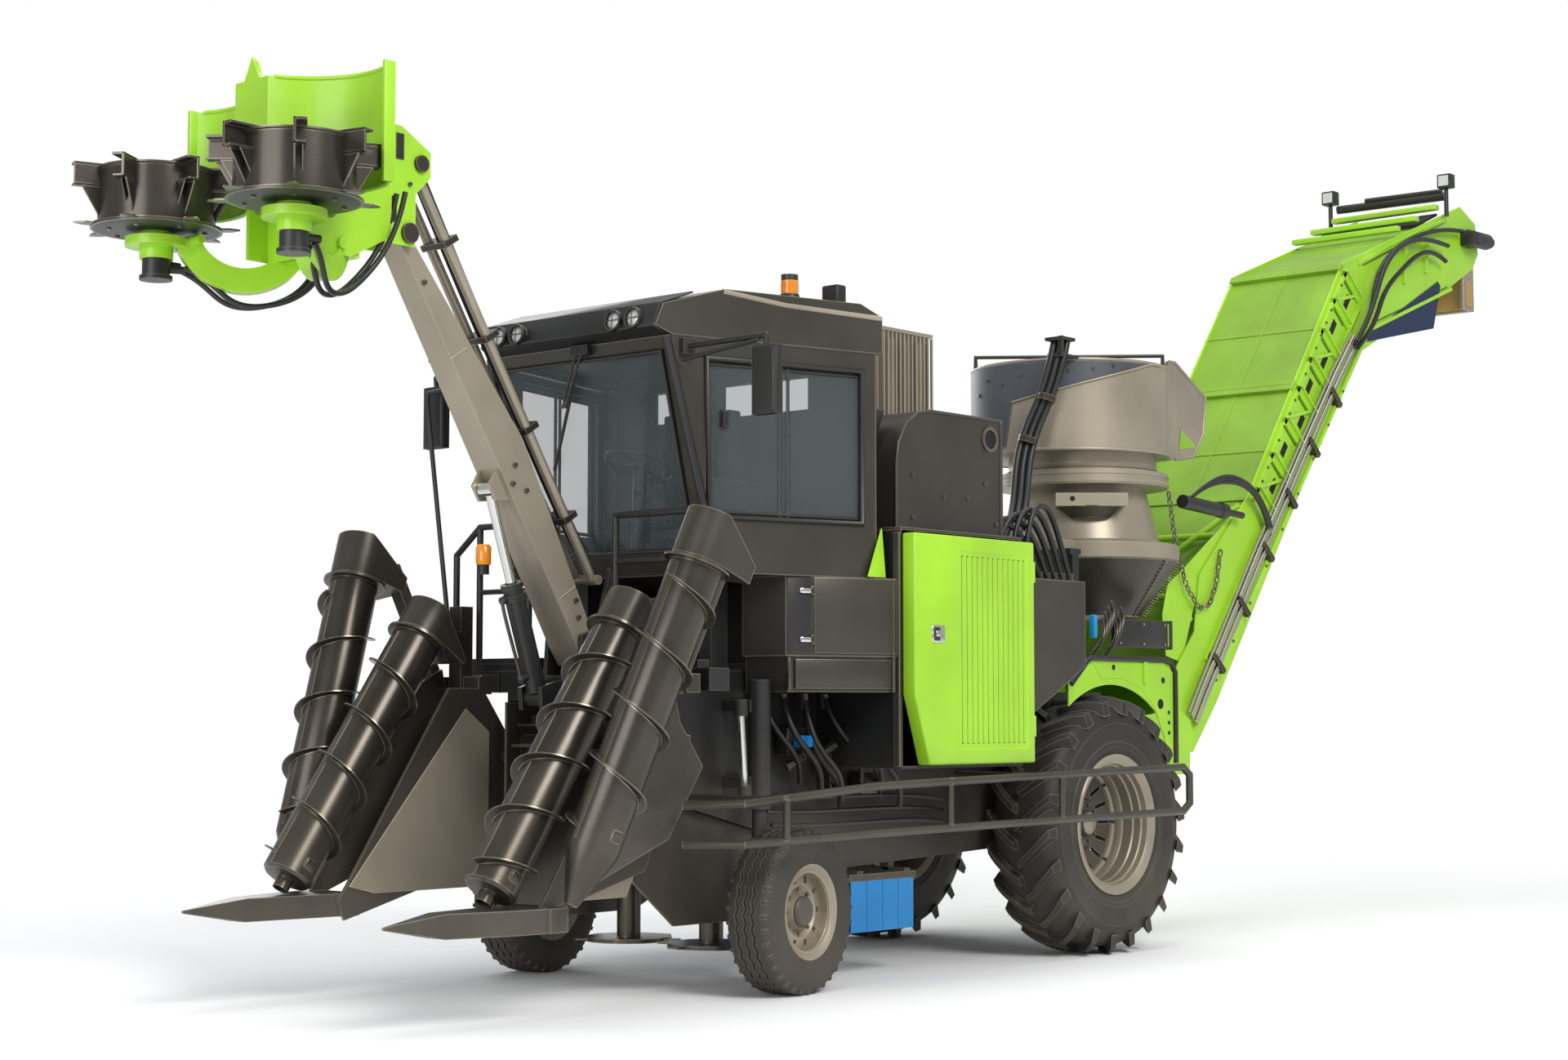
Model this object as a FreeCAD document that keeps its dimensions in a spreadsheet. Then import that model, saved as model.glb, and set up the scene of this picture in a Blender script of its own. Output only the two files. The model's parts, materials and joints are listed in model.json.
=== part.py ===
import FreeCAD, Part
import math
import os
from types import SimpleNamespace

import Sketcher
from FreeCAD import Placement, Rotation, Vector

# Sugarcane harvester. Millimetres, +X to the front, +Y to the left, +Z up.
# X = 0 is the rear axle, Z = 0 the ground.

DOC = FreeCAD.newDocument("sugarcane_harvester")
SHEET = DOC.addObject("Spreadsheet::Sheet", "dims")


class Size:
    """A number that also carries the sheet formula it came from."""

    def __init__(self, value, text):
        self.value = value
        self.text = text

    def __float__(self):
        return float(self.value)

    def __neg__(self):
        return Size(-self.value, f"-({self.text})")

    def __add__(self, other):
        other = as_size(other)
        return Size(self.value + other.value, f"({self.text} + {other.text})")

    def __sub__(self, other):
        return self + (-as_size(other))

    def __mul__(self, other):
        other = as_size(other)
        return Size(self.value * other.value, f"({self.text} * {other.text})")

    def __truediv__(self, other):
        other = as_size(other)
        return Size(self.value / other.value, f"({self.text} / {other.text})")

    def __radd__(self, other):
        return as_size(other) + self

    def __rsub__(self, other):
        return as_size(other) - self

    def __rmul__(self, other):
        return as_size(other) * self


def as_size(value):
    return value if isinstance(value, Size) else Size(float(value), f"{float(value):.10g}")


# Driving dimensions: name, millimetres or degrees, meaning
DIMENSIONS = (
    ("wheelbase", 2783, "front axle ahead of the rear axle"),
    ("rear_tyre_radius", 740, "to the tips of the lugs"),
    ("rear_tyre_width", 430, "over the side walls"),
    ("rear_track", 1553, "between the middles of the rear tyres"),
    ("rear_rim_radius", 400, "to the rim's lip"),
    ("lug_height", 38, "tread lug above the carcass"),
    ("lug_width", 46, "along the tread"),
    ("front_tyre_radius", 403, "small steered wheel"),
    ("front_tyre_width", 262, "over the side walls"),
    ("front_track", 1751, "between the middles of the front tyres"),
    ("front_rim_radius", 232, "to the rim's lip"),
    ("kingpin_y", 690, "steering axis from the middle"),
    ("steer_angle", 7.5, "steered to the left as it stands, in degrees"),
    ("leg_radius", 58, "front leg's cylinder"),
    ("running_gap", 0.3, "between faces that turn on each other"),
    ("frame_half", 500, "outer face of the side plates"),
    ("frame_plate", 16, "thickness of the side plates"),
    ("frame_front", 3380, "front end of the side plates"),
    ("frame_rear", -560, "rear end of the side plates"),
    ("frame_top", 1590, "top of the front frame"),
    ("throat_half", 455, "outer face of the crop throat's walls"),
    ("throat_wall", 12, "thickness of the throat's walls"),
    ("throat_front", 3440, "front edge of the throat's walls"),
    ("roller_radius", 150, "knockdown roller over its fins"),
    ("cutter_radius", 285, "base cutter disc"),
    ("cutter_y", 292, "base cutter's axis from the middle"),
    ("cutter_x", 2700, "base cutter's axis ahead of the rear axle"),
    ("cutter_bottom", 190, "base cutter disc above the ground"),
    ("cab_floor", 2060, "underside of the cab"),
    ("cab_rear", 2210, "rear wall of the cab"),
    ("cab_front_low", 3100, "foot of the windscreen"),
    ("cab_front_high", 3390, "top of the windscreen"),
    ("cab_half_front", 640, "half width at the front pillars"),
    ("cab_half_rear", 985, "half width at the rear pillars"),
    ("cab_wall", 42, "thickness of the walls and doors"),
    ("window_bottom", 2330, "lower edge of the side windows"),
    ("window_top", 3120, "upper edge of the side windows"),
    ("cab_top", 3215, "underside of the roof"),
    ("roof_thick", 250, "height of the roof shell"),
    ("glass_thick", 8, "window panes"),
    ("hood_half", 930, "half width of the rounded cowl"),
    ("hood_bottom", 2312, "seat of the rounded cowl"),
    ("hood_top", 2975, "crest of the rounded cowl"),
    ("bay_front", 2110, "front of the engine compartment"),
    ("bay_rear", 1045, "rear of the engine compartment"),
    ("bay_bottom", 1105, "floor of the engine compartment"),
    ("door_y", 1150, "outer face of the louvred doors"),
    ("door_depth", 86, "louvred door with its turned edge"),
    ("sheet_thick", 14, "body panels with their stiffeners"),
    ("louvre_count", 13, "slots in each louvred door"),
    ("engine_length", 760, "engine block"),
    ("engine_width", 640, "engine block"),
    ("engine_height", 860, "engine block"),
    ("tank_rear", 460, "rear end of the side tanks"),
    ("tank_y", 1080, "outer face of the side tanks"),
    ("tank_top", 2110, "top of the side tanks"),
    ("intake_top", 3500, "top of the ribbed air intake"),
    ("extractor_x", -1130, "axis of the extractor and the elevator's slew"),
    ("housing_radius", 470, "upper cone of the extractor"),
    ("skirt_radius", 600, "widest ring of the extractor"),
    ("hood_radius", 625, "extractor hood"),
    ("hood_base_z", 2935, "seat of the extractor hood"),
    ("hood_rim_z", 3560, "rim of the extractor hood"),
    ("shell_thick", 12, "rolled shells of the extractor"),
    ("table_z", 930, "slew ring's lower face"),
    ("table_radius", 470, "slew ring"),
    ("elevator_half", 445, "outer face of the elevator's sides"),
    ("elevator_plate", 12, "thickness of the elevator's sides"),
    ("elevator_pivot_x", -1500, "hinge of the elevator on its table"),
    ("elevator_pivot_z", 1290, "hinge of the elevator above the ground"),
    ("tie_down_radius", 26, "tie-down bores"),
    ("divider_space", 56, "divider's inner face outside the side plates"),
    ("divider_pivot_x", 3340, "hinge of the dividers"),
    ("divider_pivot_z", 1150, "hinge of the dividers above the ground"),
    ("auger_radius", 125, "tube of each scroll auger"),
    ("flight_height", 40, "scroll above the tube"),
    ("flight_thick", 12, "scroll plate"),
    ("inner_pitch", 275, "one turn of the inner scroll"),
    ("outer_pitch", 300, "one turn of the outer scroll"),
    ("boom_pivot_x", 3400, "boom's foot"),
    ("boom_pivot_z", 1700, "boom's foot above the ground"),
    ("boom_length", 2247, "between the boom's pins"),
    ("boom_angle", 57.7, "boom above level, in degrees"),
    ("boom_width", 200, "across the boom's foot"),
    ("head_half", 100, "inner faces of the topper head's fork plates"),
    ("level_dx", -67, "levelling rod's pin behind the boom's pin"),
    ("level_dz", 338, "levelling rod's pin above the boom's pin"),
    ("drum_x", 5560, "topper drums ahead of the rear axle"),
    ("drum_y", 495, "topper drums from the middle"),
    ("drum_z", 3545, "underside of the topper drums"),
    ("drum_radius", 260, "topper drum"),
    ("drum_height", 268, "topper drum"),
    ("paddle_reach", 374, "tips of the gathering paddles"),
    ("rail_y", 1215, "side guard rails from the middle"),
    ("rail_radius", 21, "guard rail tube"),
)


def read_sizes():
    """Writes the sheet and returns its sizes by name."""
    for row, (name, value, meaning) in enumerate(DIMENSIONS, start=1):
        SHEET.set(f"A{row}", name)
        SHEET.set(f"B{row}", str(value))
        SHEET.set(f"C{row}", meaning)
        SHEET.setAlias(f"B{row}", name)
    DOC.recompute()
    return SimpleNamespace(**{name: Size(float(SHEET.get(name)), f"dims.{name}")
                              for name, _, _ in DIMENSIONS})


S = read_sizes()
NODES = []
AXIS_TURN = {"X": Rotation(Vector(0, 1, 0), 90), "Y": Rotation(Vector(1, 0, 0), -90), "Z": Rotation()}
PLANE_ROLE = {"XY": "XY_Plane", "XZ": "XZ_Plane", "YZ": "YZ_Plane"}


# Helpers that bind an object's sizes to the sheet

def bind(thing, prop, value):
    value = as_size(value)
    if value.text.find("dims.") < 0:
        if "." in prop:
            return thing.setExpression(prop, value.text)
        return setattr(thing, prop, value.value)
    return thing.setExpression(prop, value.text)


def put(thing, place, rotation=None):
    """Places an object at a point whose coordinates are sizes."""
    if rotation is not None:
        thing.Placement = Placement(Vector(0, 0, 0), rotation)
    for letter, value in zip("xyz", place):
        value = as_size(value)
        thing.setExpression(f"Placement.Base.{letter}", value.text)
    return thing


def box(name, low, size):
    thing = DOC.addObject("Part::Box", name)
    for prop, value in zip(("Length", "Width", "Height"), size):
        bind(thing, prop, value)
    return put(thing, low)


def cylinder(name, centre, radius, height, axis="Z"):
    thing = DOC.addObject("Part::Cylinder", name)
    bind(thing, "Radius", radius)
    bind(thing, "Height", height)
    return put(thing, centre, AXIS_TURN[axis])


def sketch_outline(body, plane, points):
    """A closed outline of straight lines whose corners are bound to the sheet."""
    sketch = body.newObject("Sketcher::SketchObject", body.Name + "_outline")
    origin = [f for f in body.Origin.OriginFeatures if f.Role == PLANE_ROLE[plane]][0]
    sketch.AttachmentSupport = [(origin, "")]
    sketch.MapMode = "FlatFace"
    corners = [(as_size(a), as_size(b)) for a, b in points]
    count = len(corners)
    for i, (a, b) in enumerate(corners):
        c, e = corners[(i + 1) % count]
        sketch.addGeometry(Part.LineSegment(Vector(a.value, b.value, 0), Vector(c.value, e.value, 0)))
    for i in range(count):
        sketch.addConstraint(Sketcher.Constraint("Coincident", i, 2, (i + 1) % count, 1))
    for i, corner in enumerate(corners):
        for kind, value in zip(("DistanceX", "DistanceY"), corner):
            k = sketch.addConstraint(Sketcher.Constraint(kind, -1, 1, i, 1, value.value))
            if "dims." in value.text:
                sketch.setExpression(f"Constraints[{k}]", value.text)
    return sketch


def prism(name, plane, points, start, end):
    """A pad of an outline between two distances along the plane's world axis."""
    start, end = as_size(start), as_size(end)
    body = DOC.addObject("PartDesign::Body", name)
    sketch = sketch_outline(body, plane, points)
    foot = -end if plane == "XZ" else start
    sketch.setExpression("AttachmentOffset.Base.z", foot.text)
    pad = body.newObject("PartDesign::Pad", name + "_pad")
    pad.Profile = sketch
    bind(pad, "Length", end - start)
    return body


def turned(name, points, place, axis="Z"):
    """A revolution of an outline of (radius, height) corners about its height axis."""
    body = DOC.addObject("PartDesign::Body", name)
    sketch = sketch_outline(body, "XZ", points)
    feature = body.newObject("PartDesign::Revolution", name + "_turn")
    feature.Profile = sketch
    feature.ReferenceAxis = (sketch, ["V_Axis"])
    feature.Angle = 360
    return put(body, place, AXIS_TURN[axis])


def fuse(name, parts):
    thing = DOC.addObject("Part::MultiFuse", name)
    thing.Shapes = parts
    return thing


def cut(name, base, tools):
    thing = DOC.addObject("Part::Cut", name)
    thing.Base = base
    thing.Tool = tools[0] if len(tools) == 1 else fuse(name + "_tools", tools)
    return thing


def common(name, first, second):
    thing = DOC.addObject("Part::Common", name)
    thing.Base = first
    thing.Tool = second
    return thing


def turned_about_y(thing, place, angle):
    """Tips a piece built on level local axes up by an angle about +Y's opposite."""
    thing.Placement = Placement(Vector(0, 0, 0), Rotation(Vector(0, -1, 0), 10))
    thing.setExpression("Placement.Rotation.Angle", as_size(angle).text)
    return put(thing, place)


def direct(name, shape):
    """A piece whose curved shape is made directly from the sheet's values."""
    thing = DOC.addObject("Part::Feature", name)
    thing.Shape = shape
    return thing


def node(label, thing):
    thing.Label = label
    NODES.append(thing)
    return thing


def bar(name, start, end, radius):
    """A round bar between two points given in plain numbers."""
    start, end = Vector(*start), Vector(*end)
    run = end - start
    return Part.makeCylinder(radius, run.Length, start, run)


def tube_run(points, radius):
    """Round bars from point to point with a ball at each inner corner."""
    pieces = []
    for a, b in zip(points, points[1:]):
        pieces.append(bar("", a, b, radius))
    for p in points[1:-1]:
        pieces.append(Part.makeSphere(radius * 1.02, Vector(*p)))
    shape = pieces[0]
    return shape.fuse(pieces[1:]) if len(pieces) > 1 else shape


def bent_tube(points, radius):
    """One round tube with mitred corners."""
    points = [Vector(*p) for p in points]
    ring = Part.Wire(Part.makeCircle(radius, points[0], points[1] - points[0]))
    solid = Part.Wire(Part.makePolygon(points)).makePipeShell([ring], True, False, 1)
    if solid.Volume < 0:
        solid.reverse()
    return solid


def joined(pieces):
    return pieces[0].fuse(pieces[1:]).removeSplitter()


def scroll(radius, reach, thickness, pitch, height, hand, start_z):
    """A scroll plate wound on a tube, as flat three-cornered faces."""
    steps_per_turn = 12
    count = max(3, round(height / pitch * steps_per_turn))
    inner = radius - 8
    rings = []
    for i in range(count + 1):
        turn = hand * 2 * math.pi * i / steps_per_turn
        z = start_z + height * i / count
        c, s = math.cos(turn), math.sin(turn)
        rings.append([Vector(inner * c, inner * s, z - thickness / 2),
                      Vector(reach * c, reach * s, z - thickness / 2),
                      Vector(reach * c, reach * s, z + thickness / 2),
                      Vector(inner * c, inner * s, z + thickness / 2)])
    faces = []
    for a, b in zip(rings, rings[1:]):
        for k in range(4):
            m = (k + 1) % 4
            for corners in ((a[k], a[m], b[m]), (a[k], b[m], b[k])):
                faces.append(Part.Face(Part.makePolygon(list(corners) + [corners[0]])))
    for ring in (rings[0], rings[-1]):
        faces.append(Part.Face(Part.makePolygon(ring + [ring[0]])))
    solid = Part.Solid(Part.Shell(faces))
    if solid.Volume < 0:
        solid.reverse()
    return solid


# Wheels

def lugged_tyre(name, radius, width, rim_radius, lug_height, lug_width, lug_count):
    """A tractor tyre about the Z axis: a carcass with slanting lugs from each shoulder."""
    carcass = radius - lug_height
    half = width / 2
    profile = ((rim_radius - 35.7, -half * 0.70), (rim_radius + 0.5, -half * 0.70),
               (rim_radius + 0.5, -half * 0.95), (rim_radius + 70, -half * 0.98), (carcass * 0.80, -half),
               (carcass * 0.95, -half * 0.90), (carcass, -half * 0.50), (carcass, half * 0.50),
               (carcass * 0.95, half * 0.90), (carcass * 0.80, half), (rim_radius + 70, half * 0.98),
               (rim_radius + 0.5, half * 0.95), (rim_radius + 0.5, half * 0.70), (rim_radius - 35.7, half * 0.70))
    wire = Part.makePolygon([Vector(r, 0, z) for r, z in profile + (profile[0],)])
    shape = Part.Face(wire).revolve(Vector(0, 0, 0), Vector(0, 0, 1), 360)
    lug = Part.makeBox(lug_height + 55, lug_width, half * 1.02, Vector(radius - lug_height - 55, -lug_width / 2, -6))
    lug.rotate(Vector(radius, 0, 0), Vector(1, 0, 0), -38)
    lugs = []
    for i in range(lug_count):
        one = lug.copy()
        one.rotate(Vector(0, 0, 0), Vector(0, 0, 1), 360 * i / lug_count)
        lugs.append(one)
        other = lug.mirror(Vector(0, 0, 0), Vector(0, 0, 1))
        other.rotate(Vector(0, 0, 0), Vector(0, 0, 1), 360 * (i + 0.5) / lug_count)
        lugs.append(other)
    outer = Part.makeCylinder(radius, width, Vector(0, 0, -half))
    treads = [one.common(outer) for one in lugs]
    return shape.fuse(treads)


def plain_tyre(radius, width, rim_radius):
    half = width / 2
    profile = ((rim_radius - 23.7, -half * 0.64), (rim_radius + 0.5, -half * 0.64),
               (rim_radius + 0.5, -half * 0.92), (rim_radius + 30, -half * 0.96), (radius * 0.80, -half),
               (radius * 0.94, -half * 0.86), (radius, -half * 0.55), (radius, half * 0.55),
               (radius * 0.94, half * 0.86), (radius * 0.80, half), (rim_radius + 30, half * 0.96),
               (rim_radius + 0.5, half * 0.92), (rim_radius + 0.5, half * 0.64), (rim_radius - 23.7, half * 0.64))
    wire = Part.makePolygon([Vector(r, 0, z) for r, z in profile + (profile[0],)])
    return Part.Face(wire).revolve(Vector(0, 0, 0), Vector(0, 0, 1), 360)


def make_wheels():
    lugs_per_side = 20
    rear = lugged_tyre("rear", float(S.rear_tyre_radius), float(S.rear_tyre_width), float(S.rear_rim_radius),
                       float(S.lug_height), float(S.lug_width), lugs_per_side)
    front = plain_tyre(float(S.front_tyre_radius), float(S.front_tyre_width), float(S.front_rim_radius))
    for side, sign in (("left", 1), ("right", -1)):
        tyre = direct(f"tyre_rear_{side}", rear)
        node(f"tyre_rear_{side}", put(tyre, (0, sign * S.rear_track / 2, S.rear_tyre_radius), AXIS_TURN["Y"]))
        rim = rear_rim(f"rim_rear_{side}", sign)
        node(f"rim_rear_{side}", rim)
        tyre = direct(f"tyre_front_{side}", front)
        steer(tyre, sign)
        node(f"tyre_front_{side}", tyre)
        node(f"rim_front_{side}", front_rim(f"rim_front_{side}", sign))


def steer(thing, sign, flip=False):
    """Places a front wheel piece, built about Z, on its steered stub axle."""
    angle = S.steer_angle
    reach = S.front_track / 2 - S.kingpin_y
    rotation = Rotation(Vector(0, 0, 1), float(angle)) * AXIS_TURN["Y"]
    if flip:
        rotation = rotation * Rotation(Vector(1, 0, 0), 180)
    turn = math.radians(float(angle))
    place = (S.wheelbase - sign * reach * math.sin(turn),
             sign * (S.kingpin_y + reach * math.cos(turn)),
             S.front_tyre_radius)
    return put(thing, place, rotation)


def rear_rim(name, sign):
    """Deep-dish rim: barrel, disc near the inner side and a hub."""
    half = S.rear_tyre_width / 2
    r = S.rear_rim_radius
    points = ((65, -half * 0.62), (190, -half * 0.62), (r - 90, -half * 0.20), (r - 62, -half * 0.20),
              (r - 62, -half * 0.86), (r, -half * 0.94), (r, -half * 0.80), (r - 36, -half * 0.72),
              (r - 36, half * 0.72), (r, half * 0.80), (r, half * 0.94), (r - 62, half * 0.86),
              (r - 62, -half * 0.12), (r - 96, -half * 0.12), (190, -half * 0.52), (140, -half * 0.30),
              (65, -half * 0.30))
    points = [(a, as_size(sign) * b) for a, b in points]
    return turned(name, points, (0, as_size(sign) * S.rear_track / 2, S.rear_tyre_radius), "Y")


def front_rim(name, sign):
    """Slotted disc wheel with a hub cap."""
    half = S.front_tyre_width / 2
    r = S.front_rim_radius
    bore = 40 + S.running_gap
    points = ((bore, half * 0.10), (96, half * 0.10), (130, half * 0.34), (r - 40, half * 0.22),
              (r - 40, -half * 0.80), (r, -half * 0.90), (r, -half * 0.76), (r - 24, -half * 0.66),
              (r - 24, half * 0.66), (r, half * 0.76), (r, half * 0.90), (r - 40, half * 0.80),
              (r - 40, half * 0.36), (130, half * 0.46), (96, half * 0.24), (80, half * 0.52), (bore, half * 0.52))
    points = [(a, as_size(sign) * b) for a, b in points]
    body = turned(name + "_disc", points, (0, 0, 0))
    slots = []
    slot_count = 10
    for i in range(slot_count):
        slot = DOC.addObject("Part::Box", f"{name}_slot_{i}")
        slot.Length, slot.Width, slot.Height = 38, 26, 200
        turn = Rotation(Vector(0, 0, 1), 360 * i / slot_count)
        slot.Placement = Placement(turn.multVec(Vector(142, -13, -100)), turn)
        slots.append(slot)
    return steer(cut(name, body, slots), sign)


# Running gear

LEG_FOOT = 900

def make_running_gear():
    inside = S.frame_half - S.frame_plate
    beam = box("rear_beam", (-110, -inside, S.rear_tyre_radius - 90), (220, 2 * inside, 180))
    drives = [beam]
    stub = S.rear_track / 2 - S.rear_tyre_width / 2 * 0.62
    for side, sign in (("left", 1), ("right", -1)):
        low = S.frame_half if sign > 0 else -stub + S.running_gap
        length = stub - S.running_gap - S.frame_half
        drives.append(cylinder(f"final_drive_{side}", (0, low, S.rear_tyre_radius), 150, length, "Y"))
    node("rear_axle", fuse("rear_axle", drives))

    legs = []
    for side, sign in (("left", 1), ("right", -1)):
        legs.append(cylinder(f"leg_{side}", (S.wheelbase, sign * S.kingpin_y, LEG_FOOT), S.leg_radius, 640))
        low_y = S.frame_half if sign > 0 else -S.kingpin_y
        for k, z in enumerate((1000, 1380)):
            legs.append(box(f"leg_bracket_{side}_{k}", (S.wheelbase - 70, low_y, z),
                            (140, S.kingpin_y - S.frame_half, 60)))
    node("front_legs", fuse("front_legs", legs))

    for side, sign in (("left", 1), ("right", -1)):
        reach = S.front_track / 2 - S.kingpin_y
        pin = cylinder(f"kingpin_{side}", (0, 0, S.front_tyre_radius), 36, LEG_FOOT - S.running_gap - S.front_tyre_radius)
        leg = box(f"upright_{side}", (-55, -34, S.front_tyre_radius - 70), (110, 68, 420))
        length = reach + S.front_tyre_width / 2 * 0.5
        stub_low = 0 if sign > 0 else -length
        axle = cylinder(f"stub_axle_{side}", (0, stub_low, S.front_tyre_radius), 40, length, "Y")
        arm = box(f"steer_arm_{side}", (-210, -20 - sign * 20, S.front_tyre_radius + 60), (170, 40, 34))
        knuckle = fuse(f"knuckle_{side}", [pin, leg, axle, arm])
        put(knuckle, (S.wheelbase, sign * S.kingpin_y, 0), Rotation(Vector(0, 0, 1), float(S.steer_angle)))
        node(f"knuckle_{side}", knuckle)


# Main frame and crop throat

def make_frame():
    parts = []
    t = S.frame_plate
    side_plate = ((S.frame_rear, 830), (300, 620), (1900, 560), (2250, 700), (S.frame_front, 980),
                  (S.frame_front, S.frame_top), (2124, S.frame_top), (2124, S.bay_bottom - S.sheet_thick),
                  (700, S.bay_bottom - S.sheet_thick), (500, 1500), (S.frame_rear, 1500))
    for side, low in (("left", S.frame_half - t), ("right", -S.frame_half)):
        parts.append(prism(f"side_plate_{side}", "XZ", side_plate, low, low + t))
    inner = 2 * (S.frame_half - t)
    members = (("front_cross", S.frame_front - 140, 140, 1440, 150), ("mid_cross", 2150, 120, 1500, 140),
               ("axle_cross", 380, 140, 1250, 130),
               ("rear_cross", -520, 130, 1240, 150))
    for name, x, length, z, height in members:
        parts.append(box(name, (x, -S.frame_half + t, z), (length, inner, height)))
    wing = box("front_wing", (S.frame_front - 140, -900, 1480), (140, 1800, 110))
    parts.append(wing)
    # boom's foot: two ears on the front cross member, with the levelling rod's ears behind
    for side, low in (("left", S.boom_width / 2 + 6), ("right", -S.boom_width / 2 - 30)):
        ear = ((S.frame_front - 130, 1520), (S.boom_pivot_x + 90, 1520), (S.boom_pivot_x + 70, S.boom_pivot_z + 60),
               (S.boom_pivot_x - 40, S.boom_pivot_z + 90), (S.boom_pivot_x + S.level_dx - 60, S.boom_pivot_z + S.level_dz + 60),
               (S.boom_pivot_x + S.level_dx - 100, S.boom_pivot_z))
        parts.append(prism(f"boom_ear_{side}", "XZ", ear, low, low + 24))
    parts.append(box("boom_seat", (S.frame_front - 130, -S.boom_width / 2 - 30, 1500),
                     (S.boom_pivot_x + 220 - S.frame_front, S.boom_width + 60, 60)))
    cylinder_foot = ((S.frame_front - 20, 1430), (S.frame_front + 310, 1390), (S.frame_front + 320, 1500),
                     (S.frame_front + 220, 1530), (S.frame_front - 20, 1570))
    for side, low in (("left", 60), ("right", -84)):
        parts.append(prism(f"ram_ear_{side}", "XZ", cylinder_foot, low, low + 24))
    # slewing table's carrier behind the side plates
    parts.append(box("table_carrier", (S.extractor_x - 330, -330, S.table_z - 130),
                     (S.frame_rear - S.extractor_x + 350, 660, 130)))
    parts.append(box("carrier_root", (S.frame_rear - 10, -S.frame_half + t, S.table_z - 130), (220, inner, 130)))
    # posts that carry the extractor ahead of the elevator's foot
    for side, low in (("left", 330), ("right", -390)):
        parts.append(box(f"extractor_post_{side}", (S.frame_rear + 60, low, 1380), (60, 60, 990)))
    parts.append(box("extractor_shelf", (S.extractor_x + S.skirt_radius + 3, -390, 2340), (110, 780, 36)))
    for side, low in (("left", 400), ("right", -480)):
        parts.append(box(f"cab_pedestal_{side}", (2790, low, S.frame_top - 20), (120, 80, S.cab_floor - S.frame_top + 20)))
        parts.append(box(f"pedestal_foot_{side}", (2760, low if low > 0 else -S.frame_half + 1, 1520),
                         (180, S.frame_half - 401, 70)))
    for side, low in (("left", S.frame_half), ("right", -S.frame_half - S.divider_space + S.running_gap)):
        parts.append(cylinder(f"divider_pin_{side}", (S.divider_pivot_x, low, S.divider_pivot_z), 30,
                              S.divider_space - S.running_gap, "Y"))
    holes = [cylinder(f"tie_down_{k}", (x, -S.frame_half - 20, z), S.tie_down_radius, 2 * S.frame_half + 40, "Y")
             for k, (x, z) in enumerate(((S.frame_front - 200, 1080), (S.extractor_x + 130, S.table_z - 65)))]
    node("chassis_frame", cut("chassis_frame", fuse("chassis_solid", parts), holes))


def make_throat():
    wall = ((S.throat_front, 560), (S.throat_front, 1430), (2330, 1430), (2160, 1000), (2160, 480), (2500, 330),
            (3150, 330))
    parts = []
    for side, low in (("left", S.throat_half - S.throat_wall), ("right", -S.throat_half)):
        parts.append(prism(f"throat_wall_{side}", "XZ", wall, low, low + S.throat_wall))
    inside = S.frame_half - S.frame_plate
    parts.append(box("gear_case", (S.cutter_x - 190, -inside, 900), (380, 2 * inside, 230)))
    casing = ((2330, 480), (-250, 1120), (-380, 1300), (-200, 1420), (300, 1170), (1045, 1075), (2200, 960),
              (2330, 880))
    parts.append(prism("roller_train_case", "XZ", casing, -S.throat_half + S.throat_wall,
                       S.throat_half - S.throat_wall))
    node("throat_housing", fuse("throat_housing", parts))

    for side, sign in (("left", 1), ("right", -1)):
        disc = cylinder(f"cutter_disc_{side}", (0, 0, S.cutter_bottom), S.cutter_radius - 60, 22)
        shaft = cylinder(f"cutter_shaft_{side}", (0, 0, S.cutter_bottom + 20), 62,
                         900 - S.cutter_bottom - 20 - S.running_gap)
        knives = []
        knife_count = 5
        for i in range(knife_count):
            knife = DOC.addObject("Part::Box", f"cutter_knife_{side}_{i}")
            turn = Rotation(Vector(0, 0, 1), 360 * (i + 0.5 * (sign < 0)) / knife_count)
            bind(knife, "Length", S.cutter_radius - 150)
            knife.Width, knife.Height = 70, 8
            knife.Placement = Placement(turn.multVec(Vector(150, -35, 0)), turn)
            knife.setExpression("Placement.Base.z", (S.cutter_bottom + 8).text)
            knives.append(knife)
        cutter = fuse(f"base_cutter_{side}", [disc, shaft] + knives)
        node(f"base_cutter_{side}", put(cutter, (S.cutter_x, sign * S.cutter_y, 0)))

    # finned roller across the mouth of the throat
    length = 2 * (S.throat_half - S.throat_wall - 8)
    core = cylinder("roller_core", (0, -S.throat_half + S.throat_wall + 8, 0), 84, length, "Y")
    axle = cylinder("roller_axle", (0, -S.throat_half + S.throat_wall + S.running_gap, 0), 34,
                    2 * (S.throat_half - S.throat_wall - S.running_gap), "Y")
    fins = []
    fin_count = 8
    for i in range(fin_count):
        fin = DOC.addObject("Part::Box", f"roller_fin_{i}")
        turn = Rotation(Vector(0, 1, 0), 360 * i / fin_count)
        bind(fin, "Length", S.roller_radius - 60)
        bind(fin, "Width", length - 20)
        fin.Height = 12
        fin.Placement = Placement(turn.multVec(Vector(60, 0, -6)), turn)
        fin.setExpression("Placement.Base.y", (-S.throat_half + S.throat_wall + 18).text)
        fins.append(fin)
    roller = fuse("knockdown_roller", [core, axle] + fins)
    node("knockdown_roller", put(roller, (S.throat_front - 170, 0, 1210)))


# Cab

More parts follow.
